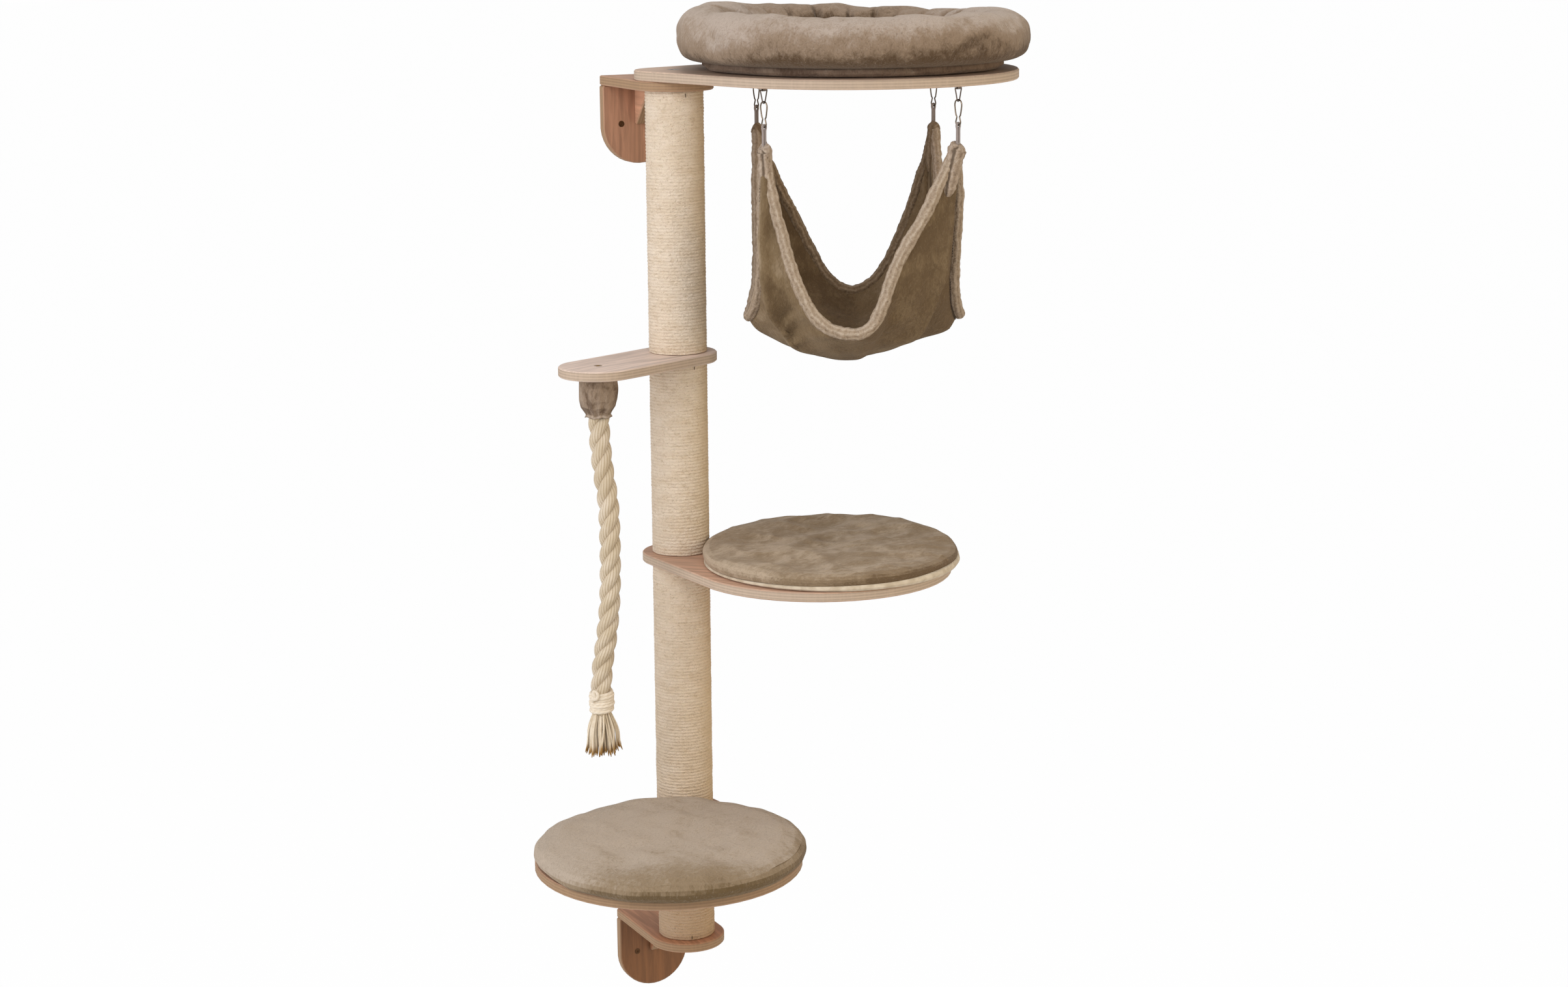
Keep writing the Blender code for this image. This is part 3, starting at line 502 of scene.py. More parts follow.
TASSEL_SEED = 11
TASSEL_LENGTH = 0.07
TASSEL_TOP_RADIUS = 0.0115
TASSEL_RADIUS = 0.03
YARN_COUNT = 84
GOLDEN_ANGLE = 2.39996
YARN_THIN = ([0, 0.1, 0.86, 0.96, 1], [0.8, 1.0, 1.0, 0.9, 0.35])
rng = np.random.default_rng(TASSEL_SEED)
yarns = []
for index in range(YARN_COUNT):
    ring = math.sqrt((index + 0.5) / YARN_COUNT)
    angle = index * GOLDEN_ANGLE + rng.uniform(-0.2, 0.2)
    top = rope_end + heading(angle) * (TASSEL_TOP_RADIUS * ring) + UP * 0.004
    spread = TASSEL_RADIUS + rng.uniform(-0.004, 0.0025)
    length = TASSEL_LENGTH * (1.0 - 0.1 * ring**2) + rng.uniform(-0.008, 0.0015)
    sway = rng.uniform(-0.3, 0.3)
    low = rope_end + heading(angle + sway) * (spread * ring) - UP * length
    middle = top.lerp(low, 0.45) + heading(angle) * (0.004 * ring)
    middle += Vector((rng.uniform(-0.0012, 0.0012), rng.uniform(-0.0012, 0.0012), 0))
    line = catmull([top, middle, top.lerp(low, 0.8) - UP * 0.001, low], 4)
    width = rng.uniform(0.00125, 0.00165)
    yarns.append(tube_mesh(f"yarn_{index}", line, width, np.array([0.7, 0.7, 0.1]), 7, 14, YARN_THIN))
tassel = link("tassel_yarns", joined("tassel_yarns", yarns))
frayed = Surface("frayed_cotton", roughness=0.95, sheen_weight=0.2, specular_ior_level=0.15)
_, fray_v, _ = frayed.axes(frayed.place(kind="UV"))
fray_fibre = frayed.speckle((500, 500, 160), 4.0, 0.7)
clump = frayed.speckle((90, 90, 14), 2.0)
paleness = (fray_fibre * 0.5 + clump * 0.6).between(0.25, 0.85)
fray_colour = frayed.blend(paleness, srgb(202, 183, 152), srgb(240, 230, 211))
fray_colour = frayed.blend((fray_v + clump * 0.12).between(0.8, 1.0), fray_colour, srgb(158, 120, 62))
frayed.coat(fray_colour, fray_fibre, 0.0006, 0.7)
ready(tassel, frayed, "rope_pendulum", "cotton_rope", "rope_tassel")


# Plush

# A level direction from the camera into the picture, and its opposite
AWAY = (0.4695, 0.8829)
NEARER = (-0.4695, -0.8829)


def fur_surface(name, veil):
    """Short pile's shader: dull, with a pale sheen as strong as veil."""
    fur = Surface(name, roughness=0.95, sheen_weight=veil, sheen_roughness=0.45, specular_ior_level=0.08)
    fur.put("Sheen Tint", srgb(222, 208, 194))
    return fur


def pile_colour(fur, tone, tuft, colours, ranges, tuft_share, tuft_start):
    """Three colours over the tone, with painted shade between the tufts and painted highlights on them."""
    low, middle, high = colours
    colour = fur.blend(tone.between(*ranges[0]), low, middle)
    colour = fur.blend(tone.between(*ranges[1]), colour, high)
    colour = fur.blend((0.5 - tuft).at_least(0.0) * tuft_share, colour, low)
    return fur.blend((tuft - tuft_start).at_least(0.0) * 1.8, colour, high)


def plush(
    name, tones, mottle, seed, pile=1.0, lay=(1, 1, 0.4), patch=0.5, veil=0.35, top_light=0.5,
    shaded_side=None, side_light=None, seam=None,
):
    """Short pile, patchy and slightly hairy, with painted light and shade: pale where it faces up, dark and olive
    where it hangs down, and where asked paler on slopes towards one side and darker towards one side of the piece.
    """
    fur = fur_surface(name, veil)
    colours = [srgb(*tone) for tone in tones]
    here = fur.place()
    shifted = fur.node("ShaderNodeVectorMath", {"operation": "ADD"}, {0: here, 1: (seed, seed * 0.7, seed * 1.3)})
    broad = fur.noise(shifted, mottle, 3.0, 0.55, 0.6)
    sizes = ((62, 0.6, 0.8), (170, 0.65, 0.6), (430, 0.7, 0.0))
    clump, streak, tuft = (fur.noise(fur.place(lay), size * pile, 3.0, rough, bend) for size, rough, bend in sizes)
    east, north, upward = fur.axes(fur.node("ShaderNodeNewGeometry", out="Normal"))
    # Painted light and shade: the tone rises where the pile faces up; broad, clump and streak add random patches
    tone = upward * top_light + 0.5 + (broad - 0.5) * (2.0 * patch) + (clump - 0.5) * 0.5 + (streak - 0.5) * 0.55
    # Painted light and shade: slopes that face one level direction are paler, and slopes that face away are darker
    if side_light:
        tone = tone + (east * side_light[0] + north * side_light[1]) * side_light[2]
    # Painted shade: darker towards one side of the piece, with a ragged border
    if shaded_side:
        direction, start, end, depth = shaded_side
        place_x, place_y, _ = fur.axes(here)
        toward = place_x * direction[0] + place_y * direction[1] + (broad - 0.5) * 0.2 + (clump - 0.5) * 0.07
        tone = tone - toward.between(start, end) * depth
    colour = pile_colour(fur, tone, tuft, colours, ((0.12, 0.58), (0.55, 1.02)), 1.6, 0.56)
    if seam:
        around, inward, _ = fur.axes(fur.place(kind="UV"))
        sides = abs((around * 2).fract() - 0.5).between(0.24, 0.3)
        line = 1 - abs(inward + (clump - 0.5) * 0.012 - seam).between(0.006, 0.022)
        colour = fur.blend(line * sides * 0.7, colour, shaded(colours[0], 0.42))
    fur.put("Base Color", colour)
    fine = fur.bump(tuft, 0.0012, 0.8)
    fine = fur.bump(streak, 0.0026, 0.7, fine)
    fur.put("Normal", fur.bump(clump, 0.004, 0.45, fine))
    return fur


def padded_piece(name, place, across, along, surface, body, node):
    """A soft piece that lies loose on its board."""
    piece = link(name, grid_mesh(name, place, across, along))
    ready(piece, surface, body, "plush", node)


# Bed

BED = ahead(TOP_TURN, BED_OFFSET, TOP_SHELF_TOP)
BED_RADIUS = 0.2685
BOLSTER_WIDTH = 0.088
BOLSTER_HEIGHT = 0.0808
BOLSTER_SQUARENESS = 0.86
BASE_RIM = 0.0132
BASE_RADIUS = 0.227
GATHER_COUNT = 30
PLEAT_WIDTH = 0.5916
INNER_PLEAT_DEPTH = 0.0095
TOP_PLEAT_DEPTH = 0.0085
BASE_NOISE_RADIUS = 0.2385
BASE_PROFILE = (
    [0, 0.1, 0.26, 0.3, 0.34, 0.4, 0.46, 0.52, 0.6, 0.8, 1.0],
    [0, 0.6, 0.95, 0.985, 1.0, 0.995, 0.965, 0.9, 0.74, 0.35, 0.0],
    [0.0006, 0.0006, 0.001, 0.003, 0.0065, 0.0115, 0.0165, 0.0185, 0.02, 0.028, 0.0295],
)


def bolster_place(u, v):
    around = math.tau * u
    about = math.tau * v
    out = np.sign(np.cos(about)) * np.abs(np.cos(about)) ** BOLSTER_SQUARENESS
    up = np.sign(np.sin(about)) * np.abs(np.sin(about)) ** BOLSTER_SQUARENESS
    raised = np.clip(up, 0, 1)
    pleats = GATHER_COUNT * around + waves(around, (2, 0.4, 1.6), (7, 0.0, 0.8), (3, 0.7, 0.1), (5, 2.1, 0.07))
    crease = bell(np.mod(pleats, math.tau) - math.pi, PLEAT_WIDTH)
    inner_top = tent(about, math.radians(150), math.radians(75))
    depth = INNER_PLEAT_DEPTH * np.clip(-out, 0, 1) ** 1.5 + TOP_PLEAT_DEPTH * inner_top
    depth = depth * crease * (0.7 + waves(around, (5, 1.0, 0.3)))
    probe = np.stack([0.22 * np.cos(around), 0.22 * np.sin(around) + 0.045 * out, 0.045 * up], axis=-1)
    soft = swells(probe, (0.12, 5, 0.0028), (0.045, 6, 0.001))
    half_width = BOLSTER_WIDTH / 2 - 0.0008
    half_height = BOLSTER_HEIGHT / 2 - 0.0012
    swell = 1 + (soft - depth) / half_width
    reach = BED_RADIUS - BOLSTER_WIDTH / 2 + out * half_width * np.where(out > 0, np.minimum(swell, 1.02), swell)
    high = BASE_RIM + BOLSTER_HEIGHT / 2 + up * half_height * np.where(up > 0, swell, 1.0)
    sag = 0.0028 + 0.0075 * towards(around, 11.459) ** 1.5
    high += raised * (waves(around, (2, 2.6, 0.003), (1, -0.6, 0.0022)) - sag)
    return round_centre(BED, around, reach * (1 - 0.02 * up), high)


bed_fur = plush(
    "taupe_plush_bed", ((84, 66, 48), (142, 123, 104), (174, 160, 148)), 6.0, 1.3,
    lay=(1, 1, 0.75), shaded_side=(AWAY, -0.03, 0.07, 0.5), side_light=(-0.9, 0.0, 0.18),
)
padded_piece("bed_bolster_plush", bolster_place, 480, 72, bed_fur, "bed", "bed_bolster")


def base_place(u, v):
    around = math.tau * u
    full, high = profile(v, BASE_PROFILE)
    hem = tent(v, 0.3, 0.06)
    lift = np.clip(np.sin(5 * around + 0.8) * np.sin(3 * around), 0, 1)
    rim = round_centre(ORIGIN, around, BASE_NOISE_RADIUS, 0)
    reach = BASE_RADIUS * full + hem * (waves(around, (17, 0.0, 0.0012)) - 0.002 * lift)
    reach = reach + tent(v, 0.4, 0.14) * swells(rim, (0.12, 10, 0.0032), (0.035, 12, 0.002))
    high = high + hem * 0.0032 * lift + tent(v, 0.44, 0.08) * (0.0022 + swells(rim, (0.09, 13, 0.0016)))
    crown = np.clip(1 - reach / 0.19, 0, 1) * (v > 0.5)
    high = high + crown * swells(round_centre(ORIGIN, around, reach, high), (0.1, 9, 0.0016))
    return round_centre(BED, around, reach, high)


base_fur = plush(
    "taupe_plush_base", ((96, 78, 65), (128, 109, 94), (156, 138, 122)), 22.0, 4.1, top_light=0.1, patch=0.8
)
padded_piece("bed_base_plush", base_place, 240, 90, base_fur, "bed", "bed_base_cushion")


# Middle pad: plush on a cream backing

PAD = ahead(MIDDLE_TURN, PAD_OFFSET, MIDDLE_SHELF_TOP)
PAD_RADIUS = 0.2
PAD_PROFILE = (
    [0, 0.08, 0.2, 0.24, 0.3, 0.36, 0.43, 0.5, 0.6, 0.78, 1.0],
    [0, 0.6, 0.955, 0.975, 0.985, 0.985, 0.97, 0.935, 0.83, 0.45, 0.0],
    [0.005, 0.005, 0.005, 0.0062, 0.011, 0.016, 0.0206, 0.0235, 0.0252, 0.0262, 0.0268],
)
BACKING_PROFILE = (
    [0, 0.25, 0.42, 0.5, 0.6, 0.75, 1.0],
    [0, 0.7, 0.975, 0.993, 0.985, 0.93, 0.0],
    [0.0006, 0.0006, 0.0008, 0.0035, 0.007, 0.0078, 0.0078],
)
# The direction of its front, in degrees
PAD_FRONT = -75
CURL_SHARE = 0.018


def pad_place(u, v):
    around = math.tau * u
    full, high = profile(v, PAD_PROFILE)
    uneven = np.minimum(1 + (v > 0.15) * waves(around, (3, 0.5, 0.005), (8, 1.0, 0.004)), 1.012)
    reach = PAD_RADIUS * full * uneven * (1 - 0.014 * towards(around, -28))
    flat = round_centre(ORIGIN, around, reach, 0)
    on_top = ramp(v, 0.34, 0.5) * (1 - 0.55 * ramp(reach / PAD_RADIUS, 0.8, 0.98))
    creases = 0.0042 * bell(smooth_noise(flat, 0.13, 21), 0.5477) + 0.0022 * bell(smooth_noise(flat, 0.085, 33), 0.469)
    high = high + on_top * (swells(flat, (0.1, 22, 0.0022), (0.024, 24, 0.0004)) + creases - 0.0018)
    high = high + 0.0035 * towards(around, PAD_FRONT) * np.interp(v, [0.0, 0.2, 0.3, 0.43], [0.0, 1.0, 0.8, 0.0])
    curl = towards(around, 62) * np.clip(full - 0.5, 0, None) * (v > 0.2)
    return round_centre(PAD, around, reach, high + CURL_SHARE * curl + 0.002 * ramp(v, 0.2, 0.3))


def backing_place(u, v):
    around = math.tau * u
    full, high = profile(v, BACKING_PROFILE)
    front = towards(around, PAD_FRONT)
    reach = PAD_RADIUS * full * (0.984 + 0.014 * front + waves(around, (3, 0.5, 0.002)))
    return round_centre(PAD, around, reach, high * (0.8 + 0.65 * front + 0.7 * towards(around, -20) ** 3))


pad_fur = plush(
    "taupe_plush_pad", ((106, 87, 65), (141, 122, 98), (180, 162, 140)), 14.0, 2.2,
    lay=(0.5, 1, 1), patch=0.4, top_light=0.24, side_light=(-0.75, 0.55, 0.7),
)
padded_piece("middle_pad_plush", pad_place, 260, 150, pad_fur, "pad", "middle_pad")

lining = Surface("cream_lining", roughness=0.9, sheen_weight=0.15, specular_ior_level=0.2)
weave = lining.node("ShaderNodeTexChecker", {}, {"Vector": lining.place(), "Scale": 900.0}, out=1)
lining_noise = lining.noise(lining.place(), 60.0, 3.0)
cream = lining.blend(lining_noise.between(0.3, 0.7), srgb(190, 174, 150), srgb(216, 203, 182))
lining.coat(cream, weave * 0.5 + lining_noise, 0.0006, 0.5)
padded_piece("middle_pad_backing", backing_place, 240, 40, lining, "pad", "middle_pad")


# Lower cushion

CUSHION = ahead(CUSHION_TURN, CUSHION_OFFSET, LOWER_SHELF_TOP)
CUSHION_RADIUS = 0.205
CUSHION_PROFILE = (
    [0, 0.07, 0.16, 0.21, 0.28, 0.35, 0.42, 0.49, 0.57, 0.66, 0.8, 1.0],
    [0, 0.6, 0.9, 0.955, 0.985, 1.0, 0.995, 0.97, 0.915, 0.82, 0.5, 0.0],
    [0.0006, 0.0006, 0.001, 0.0036, 0.01, 0.0172, 0.0238, 0.0298, 0.0355, 0.04, 0.0445, 0.046],
)
DENT_X, DENT_Y = 0.02, -0.01
DENT_WIDTH = 0.04
DENT_DEPTH = 0.0045


def cushion_place(u, v):
    around = math.tau * u
    full, high = profile(v, CUSHION_PROFILE)
    flat = round_centre(ORIGIN, around, CUSHION_RADIUS * full, high)
    hem = tent(v, 0.2, 0.07) * waves(around, (7, 1.0, 0.6), (11, 0.3, 0.4))
    reach = CUSHION_RADIUS * full * (1 + 0.006 * hem) + swells(flat, (0.09, 41, 0.0016)) * (v > 0.2) * (v < 0.5)
    dent = bell(np.hypot(flat[:, 0] - DENT_X, flat[:, 1] - DENT_Y), DENT_WIDTH)
    high = high + ramp(v, 0.4, 0.55) * (swells(flat, (0.14, 42, 0.0022), (0.055, 43, 0.0012)) - DENT_DEPTH * dent)
    return round_centre(CUSHION, around, reach, high + np.clip(hem, 0, 1) * 0.0022)


cushion_fur = plush(
    "taupe_plush_cushion", ((106, 88, 62), (146, 128, 104), (180, 166, 150)), 6.0, 7.7,
    patch=0.34, shaded_side=(NEARER, 0.465, 0.6, 0.58), side_light=(-0.9, -0.1, 0.6),
)
padded_piece("lower_cushion_plush", cushion_place, 260, 150, cushion_fur, "cushion", "lower_cushion")


# Rope cuff: a thin gathered sleeve

CUFF_PROFILE = (
    [0, 0.05, 0.3, 0.58, 0.74, 0.84, 0.9, 0.95, 1.0],
    [0.0275, 0.0285, 0.0288, 0.0285, 0.0262, 0.0205, 0.0185, 0.0205, 0.0168],
    [0.0004, 0.003, 0.018, 0.036, 0.047, 0.055, 0.0585, 0.0625, 0.0615],
)
CUFF_BORE = 0.0156
CUFF_WALL = 0.0009
CUFF_GATHER_COUNT = 11
CUFF_GATHER_DEPTH = 0.0024


def cuff_place(u, v):
    around = math.tau * u
    wide, drop = profile(v, CUFF_PROFILE)
    gather = 0.5 + 0.5 * np.sin(CUFF_GATHER_COUNT * around + 1.2 * np.sin(3 * around))
    deep = np.interp(v, [0, 0.4, 0.7, 0.9, 1.0], [0.2, 0.3, 0.9, 1.0, 0.8])
    flat = round_centre(ORIGIN, around, 0.03, v * 0.06)
    out = np.maximum(wide - CUFF_GATHER_DEPTH * deep * gather + swells(flat, (0.045, 61, 0.001)), CUFF_BORE)
    down = np.minimum(drop + deep * waves(around, (5, 1.0, 0.0012)) * (v > 0.6), CUFF_LENGTH - 0.0001)
    return round_centre(HANG, around, out, ROPE_ARM_UNDER - down)


cuff = link("rope_cuff_plush", grid_mesh("rope_cuff_plush", cuff_place, 160, 60))
cuff_wall = cuff.modifiers.new("wall", "SOLIDIFY")
cuff_wall.thickness = CUFF_WALL
cuff_wall.offset = -1
cuff_fur = plush("taupe_plush_cuff", ((102, 84, 68), (154, 136, 118), (186, 171, 156)), 30.0, 3.4, 1.3, patch=0.8)
ready(cuff, cuff_fur, "wall_frame", "plush", "rope_cuff")


# Hammock

HAMMOCK = ahead(TOP_TURN, BED_OFFSET)
HANGER_TURN = math.radians(-24.3)
ALONG = np.array([math.cos(HANGER_TURN), math.sin(HANGER_TURN), 0.0])
BACKWARD = np.array([-math.sin(HANGER_TURN), math.cos(HANGER_TURN), 0.0])
HANGER_HALF = 0.141
BACK_SHARE = 0.99
HANGER_DEPTH = 0.181
TIP_TOP = 1.3486
SLING_DEPTH = 0.33
SLING_BELLY = TIP_TOP - 0.002 - SLING_DEPTH
CLOTH = 0.007
FOLD_WIDTH = 0.01
FOLD_DEPTH = 0.007
# Places along the edge, and heights over the belly
FRONT_EDGE = (
    (-1, 1), (-0.98, 0.855), (-0.935, 0.726), (-0.875, 0.64), (-0.815, 0.539), (-0.737, 0.438), (-0.64, 0.343),
    (-0.514, 0.259), (-0.351, 0.204), (-0.138, 0.183), (0.02, 0.19), (0.14, 0.236), (0.235, 0.32), (0.3, 0.405),
    (0.38, 0.488), (0.49, 0.575), (0.625, 0.664), (0.738, 0.749), (0.828, 0.845), (0.905, 0.935), (1, 1),
)
BACK_EDGE = (
    (-1, 1), (-0.927, 0.868), (-0.834, 0.763), (-0.74, 0.673), (-0.646, 0.602), (-0.553, 0.526), (-0.459, 0.445),
    (-0.365, 0.374), (-0.268, 0.301), (-0.164, 0.251), (-0.055, 0.221), (0.062, 0.205), (0.182, 0.212),
    (0.293, 0.235), (0.398, 0.274), (0.498, 0.332), (0.594, 0.41), (0.688, 0.497), (0.781, 0.596), (0.873, 0.717),
    (0.955, 0.85), (1, 1),
)


def edge_share(place, edge):
    """The height share of an edge at a place from -1 to 1 along it."""
    curve = catmull(edge, 8)
    return np.interp(place, curve[:, 0], curve[:, 1])


def sling_place(u, v):
    """The sling's cloth: u goes round its rim, and v from the middle of the belly up to the rim."""
    angle = math.tau * u
    a = np.clip(math.sqrt(2) * np.cos(angle), -1, 1)
    b = np.clip(math.sqrt(2) * np.sin(angle), -1, 1)
    across = np.clip(a / 0.95, -1, 1)
    depth = np.clip(b / 0.95, -1, 1)
    mix = (depth + 1) / 2
    side = 0.18 + 0.82 * np.abs(depth) ** 1.84
    height = (edge_share(across, FRONT_EDGE) * (1 - mix) + edge_share(across, BACK_EDGE) * mix) * side
    half = HANGER_HALF * (1 - mix + BACK_SHARE * mix)
    rim_x = a * half + np.sign(a) * 0.018 * bell(depth, 0.3) * across**4
    rim_y = b * HANGER_DEPTH * (1 + 0.1 * (1 - across**2))
    rim_z = SLING_BELLY + SLING_DEPTH * height
    # From the belly to the rim the cloth follows a curve that its middle point pulls out to the sides
    spread = (0.75 * (1 - height) + 1.015 * height) * (1 - 0.12 * across)
    first = (1 - v) ** 2
    second = 2 * (0.6 * (1 - height) + 1.98 * height) * v * (1 - v)
    third = v**2
    total = first + second + third
    x = rim_x * (second * spread + third) / total
    y = rim_y * (second * spread + third) / total
    low_z = SLING_BELLY + SLING_DEPTH * 0.09 * height
    z = (first * SLING_BELLY + second * low_z + third * rim_z) / total
    # Folds
    spot = np.stack([x, y, z], axis=-1)
    free = np.clip(v * 3, 0, 1) * np.clip((1 - v) * 6, 0, 1)
    sweep = bell(x * 0.8 + y * 0.6 + 0.005, FOLD_WIDTH) * np.clip(1 - v * 1.5, 0, 1) * (y > 0)
    slant = x + (y + 0.17) * 0.9
    ridges = bell(slant + 0.062, FOLD_WIDTH) + 0.7 * bell(slant + 0.095, 0.007746)
    z = z + swells(spot, (0.11, 71, 0.004)) * free + FOLD_DEPTH * sweep
    y = y - FOLD_DEPTH * ridges * free * (y < -0.04) - swells(spot, (0.055, 72, 0.0024)) * free
    x = x + swells(spot, (0.06, 73, 0.002)) * free
    return np.array(HAMMOCK) + np.outer(x, ALONG) + np.outer(y, BACKWARD) + np.outer(z, [0.0, 0.0, 1.0])


sling = link("hammock_cloth", grid_mesh("hammock_cloth", sling_place, 420, 96, weld=0.0002))
thick = sling.modifiers.new("thickness", "SOLIDIFY")
thick.thickness = CLOTH
thick.offset = 0
hammock_fur = plush(
    "taupe_plush_hammock", ((101, 83, 61), (126, 107, 81), (164, 146, 121)), 12.0, 9.2, 1.25,
    patch=0.62, veil=0.2, top_light=0.1, seam=0.95, side_light=(-0.45, 0.5, 0.45),
)
ready(sling, hammock_fur, "hammock", "plush", "hammock_sling")


# The sling's rolled edges, and the rounded ears at its tips

RIM_POINTS = 260
GATHER_POINTS = 34
EAR_POINTS = 33
EAR_RISE = 0.0015
TIP_REACH = 0.07
FOOT_REACH = 0.02
ROLL_THIN = ([0, 0.006, 0.016, 0.03, 0.97, 0.984, 0.994, 1], [0.45, 0.8, 0.97, 1.0, 1.0, 0.97, 0.8, 0.45])
EAR_THIN = ([0, 0.02, 0.05, 0.1, 0.3, 0.6, 0.85, 1], [0.5, 0.75, 0.93, 1.0, 1.0, 0.98, 0.82, 0.45])


def rim_line(start, end, inset, lift):
    """The sling's edge between two tips, drawn in at both tips and raised there over the cord's foot."""
    fine = sling_place(np.linspace(start, end, 400) / 360, np.ones(400))
    lengths = lengths_along(fine)
    points = at_lengths(fine, lengths, np.linspace(0, lengths[-1], RIM_POINTS))
    for _ in range(3):
        points[1:-1] = (points[:-2] + 2 * points[1:-1] + points[2:]) / 4
    near = np.linalg.norm(points - points[0], axis=1)
    far = np.linalg.norm(points - points[-1], axis=1)
    inward = (points[-1] - points[0]) / np.linalg.norm(points[-1] - points[0])
    points = points + np.outer(bell(near, TIP_REACH) - bell(far, TIP_REACH), inward) * inset
    points[:, 2] += lift * (bell(near, FOOT_REACH) + bell(far, FOOT_REACH))
    return points


def roll_mesh(name, line, radius, across, seed, thin=ROLL_THIN):
    """Cloth rolled along a line, slightly uneven in width."""

    def place(u, v):
        points = tube_points(line, radius, across, u, v, thin)
        middle = tube_points(line, 0.0, across, u, v)
        pinch = 1 + swells(middle, (0.028, seed, 0.06)) + swells(points, (0.009, seed + 1, 0.05))
        return middle + (points - middle) * pinch[:, None]

    return grid_mesh(name, place, 32, 420, caps=True)


def gathered(first, second):
    """Draws two edges together near the tip that both start at, and returns their middle line there."""
    share = (np.arange(GATHER_POINTS) / GATHER_POINTS)[:, None]
    share = 0.3 + 0.7 * share * share * (3 - 2 * share)
    middle = (first[:GATHER_POINTS] + second[:GATHER_POINTS]) / 2
    for edge in (first, second):
        edge[:GATHER_POINTS] = middle + (edge[:GATHER_POINTS] - middle) * share
    return middle


def ear_mesh(name, line, radius, seed, toward, start):
    """The rounded ear at a tip, where two rolled edges meet round the cord's foot."""
    line = line[start : start + EAR_POINTS].copy()
    line -= np.outer(np.linspace(0, toward, len(line)), BACKWARD)
    line[0, 2] += EAR_RISE
    return roll_mesh(name, line, radius, BACKWARD, seed, EAR_THIN)


front_line = rim_line(225, 315, -0.0035, 0.001)
back_line = rim_line(135, 45, -0.0035, 0.001)
left_line = rim_line(135, 225, -0.001, 0.0) - 0.0025 * ALONG - 0.005 * BACKWARD
right_line = rim_line(45, -45, -0.001, 0.0) + 0.0045 * ALONG - 0.0045 * BACKWARD
tip_lines = [
    gathered(front_line, left_line[::-1]),
    gathered(front_line[::-1], right_line[::-1]),
    gathered(back_line, left_line),
    gathered(back_line[::-1], right_line),
]
# Each ear's radius, seed, how far its end is drawn forward, and its first point on the line
EARS = ((0.0108, 93, 0.006, 0), (0.0134, 95, 0.006, 1), (0.0104, 97, -0.002, 0), (0.0104, 99, -0.002, 0))
ears = [ear_mesh(f"ear_{index}", line, *sizes) for index, (line, sizes) in enumerate(zip(tip_lines, EARS))]


def rolled(name, tones, seam=None):
    """Plush rolled into an edge: pale, tufted pile with painted light on its upper side and painted shade in its
    grooves, and a dark sewn line along it at seam round the roll.
    """
    fur = fur_surface(name, 0.25)
    colours = [srgb(*tone) for tone in tones]
    round_share, length_share, _ = fur.axes(fur.place(kind="UV"))
    wander = fur.noise(fur.place(), 45.0, 2.0)
    groove = abs((round_share * 7 + wander * 1.2).fract() * 2 - 1)
    tuft = fur.noise(fur.place(), 380.0, 3.0, 0.7)
    clump = fur.noise(fur.place(), 130.0, 3.0, 0.6, 1.4)
    upward = fur.axes(fur.node("ShaderNodeNewGeometry", out="Normal"))[2]
    # Painted light and shade: paler where the roll faces up, and darker in the grooves between its ridges
    tone = upward * 0.22 + 0.58 + (clump - 0.5) + (groove - 0.5) * 0.45
    colour = pile_colour(fur, tone, tuft, colours, ((0.05, 0.55), (0.5, 1.0)), 1.8, 0.55)
    if seam is not None:
        line = 1 - abs(round_share + (wander - 0.5) * 0.04 - seam).between(0.012, 0.04)
        colour = fur.blend(line * 0.75, colour, shaded(colours[0], 0.45))
    fur.put("Base Color", colour)
    fine = fur.bump(tuft, 0.0012, 0.8)
    fur.put("Normal", fur.bump(groove * 0.15 + clump, 0.0032, 0.8, fine))
    return fur


front_fur = rolled("taupe_roll_front", ((122, 103, 82), (168, 150, 130), (196, 181, 163)))
side_fur = rolled("taupe_roll_side", ((122, 104, 84), (166, 148, 128), (194, 178, 160)))
# Painted shade: the back roll and the back ears get darker colours than the other rolls of the same plush
shaded_back_fur = rolled("taupe_roll_back_shaded", ((94, 78, 58), (132, 113, 90), (164, 146, 124)))
ear_fur = rolled("taupe_ear", ((120, 102, 84), (166, 148, 130), (194, 178, 162)), seam=0.55)
for name, mesh, fur in (
    ("hammock_front_roll", roll_mesh("front_roll", front_line[1:-2], 0.0094, BACKWARD, 81), front_fur),
    ("hammock_back_roll", roll_mesh("back_roll", back_line[1:-1], 0.0088, BACKWARD, 84), shaded_back_fur),
    ("hammock_left_roll", roll_mesh("left_roll", left_line[1:-1], 0.0082, ALONG, 87), side_fur),
    ("hammock_right_roll", roll_mesh("right_roll", right_line[1:-2], 0.0082, ALONG, 90), side_fur),
    ("hammock_front_ears", joined("hammock_front_ears", ears[:2]), ear_fur),
    ("hammock_back_ears", joined("hammock_back_ears", ears[2:]), shaded_back_fur),
):
    ready(link(name, mesh), fur, "hammock", "plush", "hammock_sling")


# The sewn side seams

STITCH_COUNT = 60
STITCH_LENGTH = 0.0044
STITCH_SHORTEST = 0.0002
STITCH_RISE = 0.004
SEAM_SHARE = 0.945
SEAM_TURNS = ((182, 222), (138, 178), (-2, -42), (2, 42))


